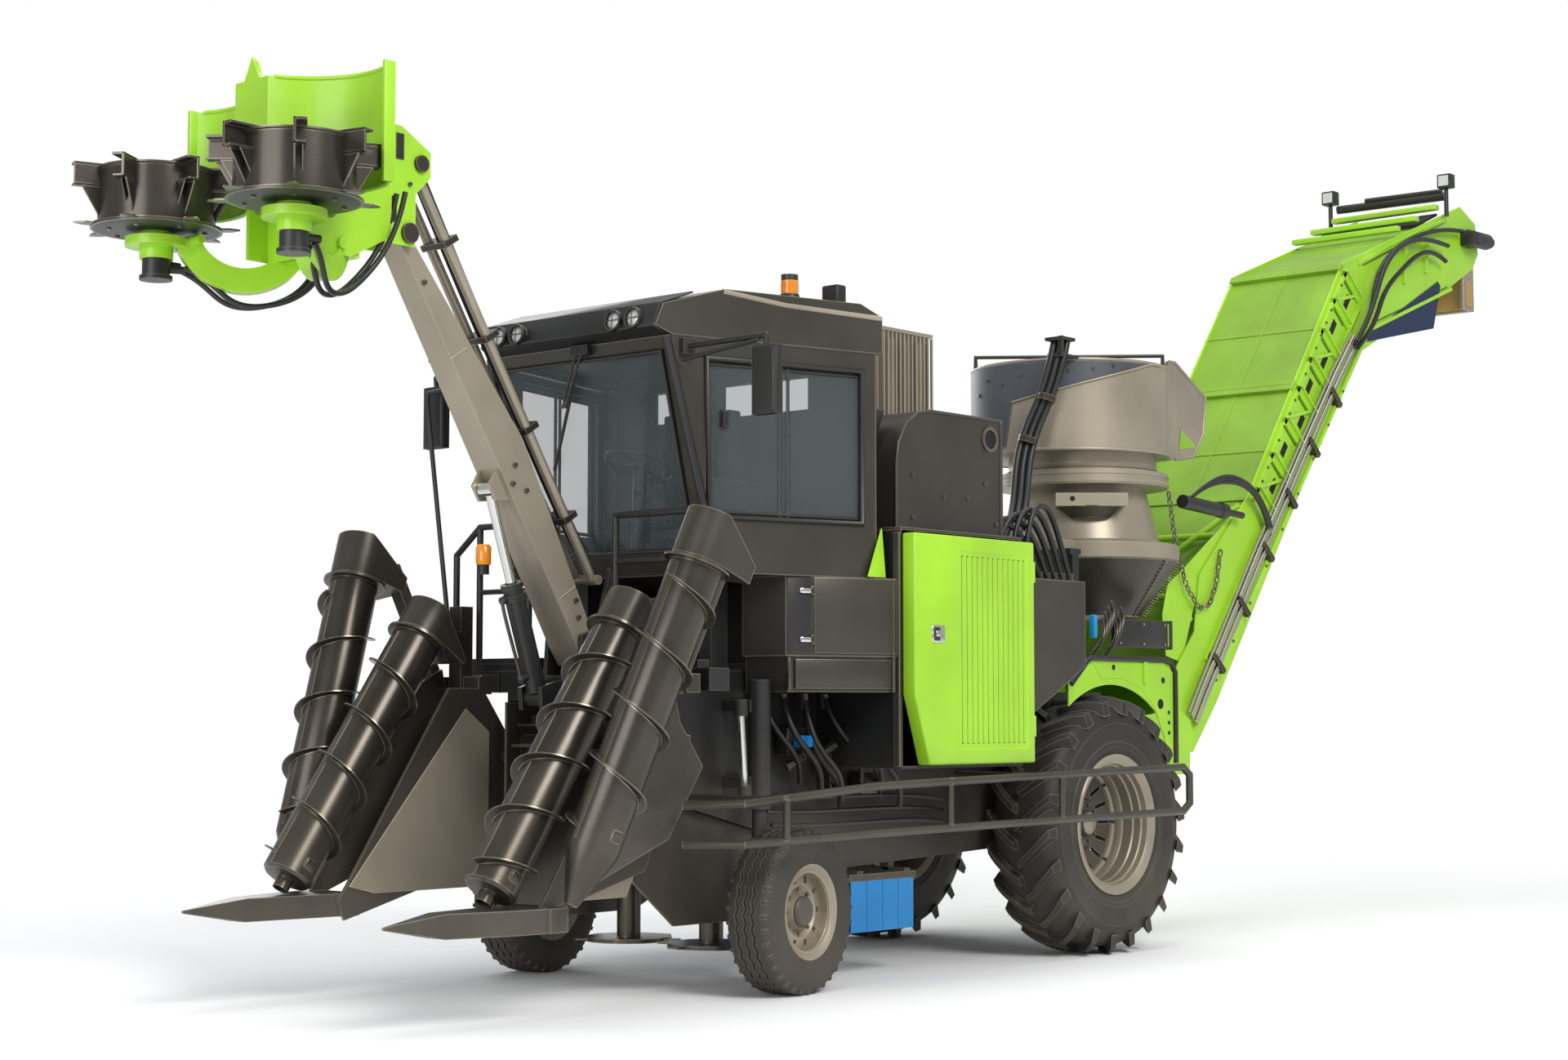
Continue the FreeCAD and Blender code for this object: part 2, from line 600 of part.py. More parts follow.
def cab_prism(name, inset, z_low, z_high):
    """The cab's outer or inner form: raked front and flared sides."""
    low = as_size(z_low)
    high = as_size(z_high)
    rake = (S.cab_front_high - S.cab_front_low) / (S.cab_top - S.cab_floor)
    front_low = S.cab_front_low + rake * (low - S.cab_floor) - inset
    front_high = S.cab_front_low + rake * (high - S.cab_floor) - inset
    side = prism(name + "_side", "XZ", ((S.cab_rear + inset, low), (front_low, low), (front_high, high),
                                        (S.cab_rear + inset, high)), -1200, 1200)
    flare = (S.cab_half_rear - S.cab_half_front) / (S.cab_front_high - S.cab_rear)
    reach_rear = S.cab_half_rear - inset
    reach_front = S.cab_half_rear - flare * (S.cab_front_high + 200 - S.cab_rear) - inset
    plan = prism(name + "_plan", "XY", ((S.cab_rear - 10, -reach_rear), (S.cab_front_high + 200, -reach_front),
                                        (S.cab_front_high + 200, reach_front), (S.cab_rear - 10, reach_rear)),
                 low, high)
    return common(name, side, plan)


def flare_angle():
    run = float(S.cab_front_high - S.cab_rear)
    return math.degrees(math.atan2(float(S.cab_half_rear - S.cab_half_front), run))


def side_tool(name, sign, x_low, x_high, z_low, z_high, depth_in, depth_out):
    """A block that follows a flared side wall, from inside to outside of it."""
    flare = math.radians(flare_angle())
    tool = DOC.addObject("Part::Box", name)
    bind(tool, "Length", (x_high - x_low) / math.cos(flare))
    bind(tool, "Width", depth_in + depth_out)
    bind(tool, "Height", z_high - z_low)
    turn = Rotation(Vector(0, 0, 1), -sign * math.degrees(flare))
    y_wall = S.cab_half_rear - (x_low - S.cab_rear) * math.tan(flare)
    start = -depth_in if sign > 0 else -depth_out
    offset = turn.multVec(Vector(0, 1, 0))
    place = (x_low + start * offset.x, sign * y_wall + start * offset.y, z_low)
    return put(tool, place, turn)


def flared_block(sign, x_low, x_high, z_low, z_high, depth):
    """A block seated on the outer face of a flared side wall."""
    slope = float(S.cab_half_rear - S.cab_half_front) / float(S.cab_front_high - S.cab_rear)
    wall = [float(S.cab_half_rear) - slope * (x - float(S.cab_rear)) for x in (x_low, x_high)]
    corners = [Vector(x_low, sign * wall[0], z_low), Vector(x_high, sign * wall[1], z_low),
               Vector(x_high, sign * (wall[1] + depth), z_low), Vector(x_low, sign * (wall[0] + depth), z_low)]
    return Part.Face(Part.makePolygon(corners + corners[:1])).extrude(Vector(0, 0, z_high - z_low))


def make_cab():
    outer = cab_prism("cab_outer", as_size(0), S.cab_floor, S.cab_top)
    inner = cab_prism("cab_inner", S.cab_wall, S.cab_floor + S.cab_wall, S.cab_top + 10)
    side_front = S.cab_front_low + 90
    tools = [inner]
    for side, sign in (("left", 1), ("right", -1)):
        tools.append(side_tool(f"side_window_{side}", sign, S.cab_rear + 90, side_front, S.window_bottom,
                               S.window_top, 120, 120))
    half = S.cab_half_front - 60
    tools.append(box("windscreen_hole", (S.cab_front_low - 250, -half, S.cab_floor + 110),
                     (900, 2 * half, S.cab_top - S.cab_floor - 180)))
    tools.append(box("rear_window_hole", (S.cab_rear - 50, -560, 2960), (200, 1120, 170)))
    door_hole = side_tool("door_hole", -1, S.cab_rear + 60, side_front + 30, S.cab_floor + 70, S.cab_top - 40, 120, 120)
    tools.append(door_hole)
    leaves = [box(f"cab_leaf_{k}", (S.cab_rear + 20, -S.cab_half_rear, z), (43 - S.running_gap, 35, 90))
              for k, z in enumerate((2180, 2950))]
    node("cab_shell", fuse("cab_shell", [cut("cab_walls", outer, tools)] + leaves))

    # the door is the same wall, smaller by its gap all round, with its window cut
    door_gap = 8
    door_block = side_tool("door_block", -1, S.cab_rear + 60 + door_gap, side_front + 30 - door_gap,
                           S.cab_floor + 70 + door_gap, S.cab_top - 40 - door_gap, S.cab_wall, 0)
    door_window = side_tool("door_window", -1, S.cab_rear + 60 + 80, side_front - 50, S.window_bottom,
                            S.window_top, 120, 120)
    barrels = [cylinder(f"door_hinge_{k}", (S.cab_rear + 78, -S.cab_half_rear + 22, z), 15, 90)
               for k, z in enumerate((2180, 2950))]
    door = cut("door_panel", door_block, [door_window])
    node("cab_door", fuse("cab_door", [door] + barrels))

    panes = []
    pane_in = S.cab_wall / 2 + S.glass_thick / 2
    for side, sign in (("left", 1),):
        panes.append(side_tool(f"side_pane_{side}", sign, S.cab_rear + 90, side_front, S.window_bottom,
                               S.window_top, pane_in, -S.cab_wall / 2 + S.glass_thick / 2))
    rake = (S.cab_front_high - S.cab_front_low) / (S.cab_top - S.cab_floor)
    z0 = S.cab_floor + 110
    z1 = S.cab_top - 70
    x0 = S.cab_front_low + rake * 110 - S.cab_wall / 2
    x1 = S.cab_front_low + rake * (S.cab_top - S.cab_floor - 70) - S.cab_wall / 2
    panes.append(prism("windscreen", "XZ", ((x0, z0), (x0 + S.glass_thick, z0), (x1 + S.glass_thick, z1), (x1, z1)),
                       -half, half))
    panes.append(box("rear_pane", (S.cab_rear + S.cab_wall / 2, -560, 2960), (S.glass_thick, 1120, 170)))
    glass = DOC.addObject("Part::Compound", "cab_glass")
    glass.Links = panes
    node("cab_glass", glass)

    # roof: a shallow shell with a lamp brow ahead of the windscreen
    z = S.cab_top
    roof_side = ((S.cab_rear - 30, z), (S.cab_front_high - 10, z), (S.cab_front_high + 85, z + 40),
                 (S.cab_front_high + 40, z + 150), (S.cab_front_high - 300, z + S.roof_thick),
                 (S.cab_rear + 100, z + S.roof_thick), (S.cab_rear - 30, z + S.roof_thick - 60))
    block = prism("roof_side", "XZ", roof_side, -1100, 1100)
    plan = prism("roof_plan", "XY", ((S.cab_rear - 40, -S.cab_half_rear - 20), (S.cab_front_high + 100, -620),
                                     (S.cab_front_high + 100, 620), (S.cab_rear - 40, S.cab_half_rear + 20)),
                 z - 10, z + S.roof_thick + 10)
    roof = common("roof_block", block, plan)
    lamps = []
    for k, y in enumerate((-480, -330, 330, 480)):
        lamps.append(cylinder(f"brow_lamp_{k}", (S.cab_front_high + 20, y, z + 82), 46, 60, "X"))
    lamps.append(cylinder("beacon_post", (2330, 500, z + 180), 12, 190))
    lamps.append(cylinder("beacon", (2330, 500, z + 340), 46, 110))
    lamps.append(box("rear_lamp", (2230, 700, z + 180), (60, 90, 190)))
    node("cab_roof", fuse("cab_roof", [roof] + lamps))

    seat_z = S.cab_floor + S.cab_wall
    seat = [box("seat_base", (2480, -180, seat_z), (360, 360, 200)),
            box("seat_cushion", (2430, -250, seat_z + 200), (500, 500, 120)),
            box("seat_back", (2400, -240, seat_z + 320), (130, 480, 540)),
            box("head_rest", (2400, -130, seat_z + 860), (90, 260, 160)),
            box("console", (2480, 300, seat_z), (420, 160, 480)),
            box("console_foot", (2480, 170, seat_z), (420, 140, 60)),
            cylinder("steering_column", (2950, 0, seat_z), 40, 520),
            box("column_foot", (2830, -60, seat_z), (160, 120, 30)),
            cylinder("steering_wheel", (2950, 0, seat_z + 520), 180, 28)]
    node("seat", fuse("seat", seat))


# Bodywork round the engine

def make_side_boxes():
    boxes = []
    for side, sign in (("left", 1), ("right", -1)):
        plan = ((2720, sign * 520), (2720, sign * 810), (2112, sign * 1050), (2112, sign * 520))
        boxes.append(prism(f"flared_box_{side}", "XY", plan, 1660, 2060))
        plan = ((2690, sign * 516), (2690, sign * 796), (2112, sign * 1030), (2112, sign * 516))
        boxes.append(prism(f"flared_sill_{side}", "XY", plan, 1480, 1661))
    return boxes


def make_bodywork():
    t = S.sheet_thick
    boxes = make_side_boxes()
    node("side_boxes", fuse("side_boxes", boxes))

    panels = [box("bay_floor", (S.bay_rear, -S.door_y + S.door_depth + 4, S.bay_bottom - t),
                  (S.bay_front - S.bay_rear, 2 * (S.door_y - S.door_depth - 4), t)),
              box("bay_front_wall", (S.bay_front - t, -S.door_y + S.door_depth + 4, S.bay_bottom - t),
                  (t, 2 * (S.door_y - S.door_depth - 4), S.hood_bottom - S.bay_bottom + t)),
              box("bay_rear_wall", (S.bay_rear, -S.door_y + S.door_depth + 4, S.bay_bottom - t),
                  (t, 2 * (S.door_y - S.door_depth - 4), S.hood_bottom - S.bay_bottom + t))]
    for side, low in (("left", 1040), ("right", -1140 + 13 + S.running_gap)):
        for k, z in enumerate((1250, 2080)):
            panels.append(box(f"door_leaf_{side}_{k}", (S.bay_rear, low, z),
                              (6 - S.running_gap, 1140 - 13 - S.running_gap - 1040, 110)))
    node("engine_bay", fuse("engine_bay", panels))
    block_x = (S.bay_front + S.bay_rear - S.engine_length) / 2
    node("engine_block", box("engine_block", (block_x, -S.engine_width / 2, S.bay_bottom),
                             (S.engine_length, S.engine_width, S.engine_height)))

    # rounded cowl: its front and top edges meet in one quarter round
    radius = 300
    x0, x1, z0, z1 = (float(S.bay_rear), float(S.bay_front) - 130, float(S.hood_bottom), float(S.hood_top))
    corner = Part.Arc(Vector(x1, 0, z1 - radius), Vector(x1 - radius * (1 - math.sqrt(0.5)), 0, z1 - radius * (1 - math.sqrt(0.5))),
                      Vector(x1 - radius, 0, z1)).toShape()
    edges = [Part.makeLine(Vector(x0, 0, z0), Vector(x1, 0, z0)), Part.makeLine(Vector(x1, 0, z0), Vector(x1, 0, z1 - radius)),
             corner, Part.makeLine(Vector(x1 - radius, 0, z1), Vector(x0, 0, z1)),
             Part.makeLine(Vector(x0, 0, z1), Vector(x0, 0, z0))]
    cowl = Part.Face(Part.Wire(edges)).extrude(Vector(0, 2 * float(S.hood_half), 0))
    cowl.translate(Vector(0, -float(S.hood_half), 0))
    deck_y = float(S.door_y - S.door_depth - 4)
    deck = Part.makeBox(float(S.bay_front - S.bay_rear), 2 * deck_y, 16, Vector(x0, -deck_y, z0))
    node("engine_hood", direct("engine_hood", cowl.fuse(deck).removeSplitter()))

    # ribbed air intake standing on the cowl
    low = Part.makeBox(440, 420, float(S.intake_top - S.hood_top), Vector(x0 + 10, 20, z1))
    ribs = [Part.makeBox(24, 18, float(S.intake_top - S.hood_top) - 90, Vector(x0 + 30 + 50 * i, 440, z1 + 30))
            for i in range(8)]
    ribs += [Part.makeBox(18, 24, float(S.intake_top - S.hood_top) - 90, Vector(x0 + 450, 50 + 50 * i, z1 + 30))
             for i in range(8)]
    lid = Part.makeBox(470, 450, 20, Vector(x0 + 5, 15, float(S.intake_top) - 20))
    node("intake_box", direct("intake_box", joined([low, lid] + ribs)))

    tanks = []
    for side, sign in (("left", 1), ("right", -1)):
        outline = ((960, 1380), (S.bay_rear, 1380), (S.bay_rear, S.tank_top), (S.tank_rear, S.tank_top),
                   (S.tank_rear, 1640), (720, 1500))
        low = S.frame_half + 100 if sign > 0 else -S.tank_y
        tanks.append(prism(f"tank_shape_{side}", "XZ", outline, low, low + S.tank_y - S.frame_half - 100))
    bridge = box("tank_bridge", (560, -S.frame_half - 110, 1640), (380, 2 * S.frame_half + 220, 60))
    node("tanks", fuse("tanks", tanks + [bridge]))


def make_engine_doors():
    """Louvred doors: a plate with a turned edge all round and upright slots."""
    z_top = S.hood_bottom - 16
    outline = ((S.bay_rear + 6, S.bay_bottom + 4), (1980, S.bay_bottom + 4), (S.bay_front - 6, 1470),
               (S.bay_front - 6, z_top), (S.bay_rear + 6, z_top))
    inner = ((S.bay_rear + 32, S.bay_bottom + 30), (1966, S.bay_bottom + 30), (S.bay_front - 32, 1478),
             (S.bay_front - 32, z_top - 26), (S.bay_rear + 32, z_top - 26))
    for side, sign in (("left", 1), ("right", -1)):
        outer_y = sign * S.door_y
        back_y = sign * (S.door_y - S.door_depth)
        skin_y = sign * (S.door_y - S.sheet_thick)
        low, high = (back_y, outer_y) if sign > 0 else (outer_y, back_y)
        plate = prism(f"door_plate_{side}", "XZ", outline, low, high)
        low, high = (back_y - 5, skin_y) if sign > 0 else (skin_y, back_y + 5)
        hollow = prism(f"door_hollow_{side}", "XZ", inner, low, high)
        slots = []
        count = int(float(S.louvre_count))
        first, last = float(S.bay_rear) + 90, float(S.bay_rear) + 640
        step = (last - first) / (count - 1)
        for i in range(count):
            slots.append(Part.makeBox(18, 200, 960, Vector(first + step * i, sign * float(S.door_y) - 100,
                                                           float(S.bay_bottom) + 110)))
        slot_tool = direct(f"door_slots_{side}", Part.makeCompound(slots))
        hinge = [cylinder(f"door_pin_{side}_{k}", (S.bay_rear + 8, sign * (S.door_y - 10), z), 13, 110)
                 for k, z in enumerate((1250, 2080))]
        latch = box(f"door_latch_{side}", (1900, sign * S.door_y - (6 if sign > 0 else 10), 1740), (70, 16, 90))
        door = cut(f"door_cut_{side}", plate, [hollow, slot_tool])
        node(f"engine_door_{side}", fuse(f"engine_door_{side}", [door, latch] + hinge))


# Extractor and elevator

def make_extractor():
    x = S.extractor_x
    t = S.shell_thick
    skirt = S.skirt_radius
    top = S.hood_base_z - S.running_gap
    profile = ((360, 1980), (skirt, 2330), (skirt, 2435), (S.housing_radius + t, 2460), (400, 2790), (540, 2800),
               (540, 2888), (470, 2896), (470, top), (470 - t, top), (470 - t, 2884), (528, 2876), (528, 2812),
               (400 - t, 2800), (S.housing_radius, 2455), (skirt - t, 2423), (skirt - t, 2336), (360 - t, 1986))
    shell = turned("extractor_shell", profile, (x, 0, 0))
    step = box("motor_shelf_block", (330, -215, 2655), (200, 430, 75))
    inside = cylinder("shelf_trim", (0, 0, 2500), 410, 400)
    shelf = put(cut("motor_shelf", step, [inside]), (x, 0, 0), Rotation(Vector(0, 0, 1), 40))
    bracket = box("housing_bracket", (S.frame_rear - 40, -300, 2376), (160, 600, 60))
    trim = cylinder("bracket_trim", (x, 0, 2300), skirt - t / 2, 300)
    spokes = [box("fan_bridge", (x - 543, -30, 2250), (1086, 60, 50))]
    hub = cylinder("fan_motor", (x, 0, 2250), 90, 310)
    node("extractor_housing", fuse("extractor_housing", [shell, shelf, cut("bracket_cut", bracket, [trim]),
                                                         hub] + spokes))
    blades = [cylinder("fan_hub", (0, 0, 2560 + S.running_gap), 110, 150)]
    blade_count = 4
    for i in range(blade_count):
        blade = DOC.addObject("Part::Box", f"fan_blade_{i}")
        turn = Rotation(Vector(0, 0, 1), 360 * i / blade_count) * Rotation(Vector(1, 0, 0), 35)
        blade.Length, blade.Width, blade.Height = 275, 120, 10
        blade.Placement = Placement(Rotation(Vector(0, 0, 1), 360 * i / blade_count).multVec(Vector(90, 0, 0))
                                    + Vector(0, 0, 2600), turn)
        blades.append(blade)
    node("extractor_fan", put(fuse("extractor_fan", blades), (x, 0, 0)))

    # hood: an open drum on a short cone, cut obliquely, with a lipped outlet to the rear
    z0, z1 = float(S.hood_base_z), float(S.hood_rim_z)
    r = float(S.hood_radius)
    wall = float(t)
    # the drum stands a little off the axis on its round collar
    shift = Vector(52, -60, 0)
    collar = [(455, z0), (470, z0), (470, z0 + 60), (545, z0 + 66), (545, z0 + 78), (455, z0 + 78), (455, z0)]
    ring = Part.Face(Part.makePolygon([Vector(a, 0, b) for a, b in collar])).revolve(Vector(0, 0, 0), Vector(0, 0, 1), 360)
    floor = Part.makeCylinder(r, 14, Vector(0, 0, z0 + 64)).translated(shift)
    floor = floor.cut(Part.makeCylinder(462, 60, Vector(0, 0, z0 + 50)))
    drum = Part.makeCylinder(r, z1 - z0 - 64, Vector(0, 0, z0 + 64)).translated(shift)
    drum = drum.cut(Part.makeCylinder(r - wall, z1, Vector(0, 0, z0)).translated(shift))
    # lipped outlet to the rear, let into the drum's wall
    lip_outline = [(-420, z0 + 64), (-640, z0 + 100), (-760, z0 + 250), (-800, z0 + 500), (-430, z1 + 70), (-350, z1 + 70)]
    room_outline = [(-400, z0 + 90), (-640, z0 + 118), (-830, z0 + 262), (-830, z0 + 490), (-430, z1 + 54), (-330, z1 + 54)]
    profiles = []
    for corners, half in ((lip_outline, 430), (room_outline, 430 - wall)):
        points = [Vector(a, -half, b) for a, b in corners + corners[:1]]
        profiles.append(Part.Face(Part.makePolygon(points)).extrude(Vector(0, 2 * half, 0)))
    core = Part.makeCylinder(r - wall / 2, 1200, Vector(0, 0, z0)).translated(shift)
    lip = profiles[0].cut(profiles[1]).cut(core)
    window = Part.makeBox(900, 2 * (430 - wall), z1, Vector(-900, wall - 430, z0 + 90))
    drum = drum.cut(window)
    bridge = Part.makeBox(2 * r - 4, 70, 46, Vector(-r + 2, -35, z1 - 40)).rotated(Vector(0, 0, 0), Vector(0, 0, 1), 60)
    shape = drum.fuse([ring, floor, lip, bridge.translated(shift)])
    node("extractor_hood", put(direct("extractor_hood", shape), (x, 0, 0)))


def elevator_side():
    """Outline of the elevator's side plates: run, knee and head."""
    return ((-1260, 1120), (-1700, 1130), (-1990, 1440), (-3950, 3930), (-5350, 4560), (-5900, 4830), (-6000, 4960),
            (-5960, 5190), (-5700, 5290), (-3800, 4590), (-2430, 2820), (-1810, 2270), (-1740, 1900), (-1500, 1650), (-1260, 1600))


def make_elevator():
    x = S.extractor_x
    ring = cylinder("slew_ring", (x, 0, S.table_z + S.running_gap), S.table_radius, 90)
    parts = [ring]
    for side, low in (("left", S.elevator_half + 4), ("right", -S.elevator_half - 24)):
        cheek = ((-760, 1000), (-1620, 1000), (-1640, 1330), (-1500, 1400), (-760, 1330))
        parts.append(prism(f"table_cheek_{side}", "XZ", cheek, low, low + 20))
    parts.append(box("table_deck", (-1600, -S.elevator_half - 24, S.table_z + S.running_gap + 60),
                     (840, 2 * S.elevator_half + 48, 30)))
    node("turntable", fuse("turntable", parts))

    sides = []
    for side, low in (("left", S.elevator_half - S.elevator_plate), ("right", -S.elevator_half)):
        sides.append(prism(f"elevator_side_{side}", "XZ", elevator_side(), low, low + S.elevator_plate))
    span = 2 * (S.elevator_half - S.elevator_plate)
    floor = ((-1700, 1180), (-1735, 1150), (-2010, 1460), (-3960, 3950), (-5340, 4590), (-5330, 4630), (-3930, 3990),
             (-1985, 1500))
    sides.append(prism("elevator_floor", "XZ", floor, -S.elevator_half + S.elevator_plate,
                       S.elevator_half - S.elevator_plate))
    for k, (px, pz) in enumerate(((-1880, 1930), (-2450, 2640), (-4500, 4750), (-5500, 5130))):
        sides.append(box(f"elevator_tie_{k}", (px - 25, -S.elevator_half + S.elevator_plate, pz - 25), (50, span, 50)))
    for side, low in (("left", S.elevator_half), ("right", -S.elevator_half - 3.5)):
        boss = cylinder(f"elevator_pin_{side}", (S.elevator_pivot_x, low, S.elevator_pivot_z), 45, 3.5, "Y")
        sides.append(boss)
    node("elevator_frame", fuse("elevator_frame", sides))

    cover = ((-2445, 2808), (-3808, 4568), (-4650, 4878), (-4657, 4859), (-3820, 4551), (-2461, 2796))
    shell = prism("cover_shape", "XZ", cover, -S.elevator_half + S.elevator_plate,
                  S.elevator_half - S.elevator_plate)
    node("elevator_cover", shell)

    # slats on two strands, laid on the floor's upper face
    foot, top = Vector(-2010, 0, 1460), Vector(-3960, 0, 3950)
    along = (top - foot).normalize()
    across = Vector(along.z, 0, -along.x)
    lay = Placement(foot, Rotation(along, Vector(0, -1, 0), across, "XYZ"))
    slat_count = 16
    first, pitch = 160, 185
    chain = [Part.makeBox(slat_count * pitch - 100, 38, 38, Vector(first - 60, y - 19, 49)) for y in (-360, 360)]
    chain += [Part.makeBox(16, 820, 110, Vector(first + pitch * i, -410, 49)) for i in range(slat_count)]
    for piece in chain:
        piece.Placement = lay
    node("elevator_chain", direct("elevator_chain", joined(chain)))

    inside = S.elevator_half - S.elevator_plate
    head = [box("head_box", (-5940, -inside, 4500), (180, 2 * inside, 400)),
            box("head_motor", (-5840, S.elevator_half, 4980), (150, 120, 110))]
    for side, sign in (("left", 1), ("right", -1)):
        low = S.elevator_half if sign > 0 else -S.elevator_half - 16
        head.append(fuse(f"rear_lamp_{side}", [box(f"lamp_post_{side}", (-5395, low, 5080), (24, 16, 260)),
                                               box(f"lamp_head_{side}", (-5420, low - 32, 5330), (70, 80, 110))]))
    node("elevator_head", fuse("elevator_head", head))
    skirt = ((-4050, 4040), (-5200, 4280), (-5330, 4620), (-5290, 4650), (-4050, 4062))
    skirts = [prism(f"skirt_{side}", "XZ", skirt, low, low + 6)
              for side, low in (("left", S.elevator_half), ("right", -S.elevator_half - 6))]
    node("elevator_skirt", fuse("elevator_skirt", skirts))


# Crop dividers

# side, hand of the inner scroll, hand of the outer scroll
DIVIDER_SIDES = (("left", 1, 1, -1), ("right", -1, -1, 1))
# auger: foot and top of its axis on the left side, X Y Z
AUGER_AXES = {
    "inner": ((4610, 712, 587), (3800, 712, 1755)),
    "outer": ((4280, 1020, 770), (3800, 1215, 2060)),
}


def auger_shape(kind, hand, pitch):
    foot, top = (Vector(*p) for p in AUGER_AXES[kind])
    run = top - foot
    tube = float(S.auger_radius)
    pieces = [Part.makeCylinder(tube, run.Length)]
    if kind == "outer":
        pieces.append(Part.makeCone(30, tube, 270, Vector(0, 0, -270)))
    else:
        pieces.append(Part.makeCylinder(40, 60, Vector(0, 0, -60)))
    collar = Part.makeCylinder(tube + float(S.flight_height), 10, Vector(0, 0, run.Length - 24))
    flight = scroll(tube, tube + float(S.flight_height), float(S.flight_thick), pitch, run.Length - 190, hand, 70)
    shape = pieces[0].fuse(pieces[1:] + [collar, flight])
    shape.Placement = Placement(foot, Rotation(Vector(0, 0, 1), run))
    return shape


def divider_shape():
    """Left divider: side sheets, shoe, and the two drive caps at the augers' tops."""
    pieces = []
    inner_y = float(S.frame_half + S.divider_space)
    plate = [Vector(x, 800, z) for x, z in ((3490, 1330), (3330, 1120), (3570, 780), (4280, 510), (4360, 400),
                                            (4420, 470), (4200, 800), (3700, 1530), (3560, 1600), (3490, 1330))]
    pieces.append(Part.Face(Part.makePolygon(plate)).extrude(Vector(0, 14, 0)))
    inner = [Vector(x, inner_y, z) for x, z in ((3500, 1500), (3300, 1230), (3290, 1080), (3470, 620), (4380, 380), (4420, 470),
                                            (3730, 1500), (3500, 1500))]
    pieces.append(Part.Face(Part.makePolygon(inner)).extrude(Vector(0, 14, 0)))
    shoe_plan = [Vector(x, y, 400) for x, y in ((5210, 705), (4900, 640), (4300, 556), (4300, 886), (4560, 860),
                                                (4900, 760), (5210, 705))]
    shoe = Part.Face(Part.makePolygon(shoe_plan)).extrude(Vector(0, 0, 110))
    ramp = Part.Face(Part.makePolygon([Vector(4200, 500, 510), Vector(4700, 500, 535), Vector(5210, 500, 468), Vector(5212, 500, 456),
                                       Vector(4900, 500, 400), Vector(4200, 500, 380), Vector(4200, 500, 510)])).extrude(Vector(0, 500, 0))
    pieces.append(shoe.common(ramp))
    pieces.append(Part.makeBox(110, 886 - inner_y, 110, Vector(4290, inner_y, 400)))
    for kind, depth in (("inner", 170), ("outer", 230)):
        foot, top = (Vector(*p) for p in AUGER_AXES[kind])
        run = (top - foot).normalize()
        cap = Part.makeCylinder(float(S.auger_radius) + 6, depth, Vector(0, 0, 0))
        back = Part.makeBox(230, 2 * float(S.auger_radius) + 12, depth - 20, Vector(-230, -float(S.auger_radius) - 6, 0))
        cap = cap.fuse(back)
        chamfer = Part.makeBox(600, 600, 300, Vector(-300, -300, 0))
        chamfer.rotate(Vector(0, 0, 0), Vector(0, 1, 0), -28)
        chamfer.translate(Vector(0, 0, depth - 20))
        cap = cap.cut(chamfer)
        cap.Placement = Placement(top + run * 0.3, Rotation(Vector(0, 1, 0), -math.degrees(math.atan2(-run.x, run.z)))
                                  if kind == "inner" else Rotation(Vector(0, 0, 1), run))
        pieces.append(cap)
    # posts that carry the caps and the pivot arm behind
    pieces.append(Part.makeBox(80, 90, 420, Vector(3470, 670, 1500)))
    pieces.append(Part.makeBox(180, 90, 150, Vector(3470, 670, 1640)))
    pieces.append(tube_box(Vector(3560, 830, 1480), Vector(3580, 1190, 2140), 70))
    pieces.append(Part.makeBox(150, 258, 90, Vector(3420, inner_y, 1180)))
    pieces.append(Part.makeBox(90, 896 - inner_y, 90, Vector(3440, inner_y, 1470)))
    pieces.append(Part.makeBox(120, 70, 90, Vector(3390, inner_y, 1480)))
    return pieces


def tube_box(start, end, side):
    """A square bar between two points."""
    run = end - start
    one = Part.makeBox(side, side, run.Length, Vector(-side / 2, -side / 2, 0))
    one.Placement = Placement(start, Rotation(Vector(0, 0, 1), run))
    return one


def make_dividers():
    left = joined(divider_shape())
    for side, sign, inner_hand, outer_hand in DIVIDER_SIDES:
        shape = left if sign > 0 else left.mirror(Vector(0, 0, 0), Vector(0, 1, 0))
        node(f"divider_{side}", direct(f"divider_{side}", shape))
        for kind, hand, pitch in (("inner", inner_hand, float(S.inner_pitch)), ("outer", outer_hand, float(S.outer_pitch))):
            # the right side is the mirror image, so its hand is undone before mirroring
            one = auger_shape(kind, hand * sign, pitch)
            if sign < 0:
                one = one.mirror(Vector(0, 0, 0), Vector(0, 1, 0))
            node(f"auger_{kind}_{side}", direct(f"auger_{kind}_{side}", one))


# Topper

def make_boom():
    length = S.boom_length
    half = S.boom_width / 2
    side = ((-70, -55), (40, -62), (length * 0.45, -44), (length + 45, -34), (length + 45, 38), (length - 90, 46),
            (length * 0.48, 166), (60, 66), (-60, 58))
    plan = ((-90, -half), (0, -half), (length + 60, -half * 0.7), (length + 60, half * 0.7), (0, half), (-90, half))
    beam = common("boom_beam", prism("boom_profile", "XZ", side, -half, half), prism("boom_taper", "XY", plan, -200, 300))
    pins = [cylinder("boom_foot_pin", (0, -half - 5.7, 0), 34, S.boom_width + 11.4, "Y"),
            cylinder("boom_tip_pin", (length, -S.head_half - 16, 0), 30, 2 * S.head_half + 32, "Y")]
    lugs = [prism(f"ram_lug_{k}", "XZ", ((856, -30), (1040, -30), (990, -128), (904, -128)), y, y + 16)
            for k, y in enumerate((-66, 50))]
    shape = fuse("boom_shape", [beam] + pins + lugs)
    node("boom", turned_about_y(shape, (S.boom_pivot_x, 0, S.boom_pivot_z), S.boom_angle))


def boom_top():
    angle = math.radians(float(S.boom_angle))
    return (S.boom_pivot_x + S.boom_length * math.cos(angle), S.boom_pivot_z + S.boom_length * math.sin(angle))


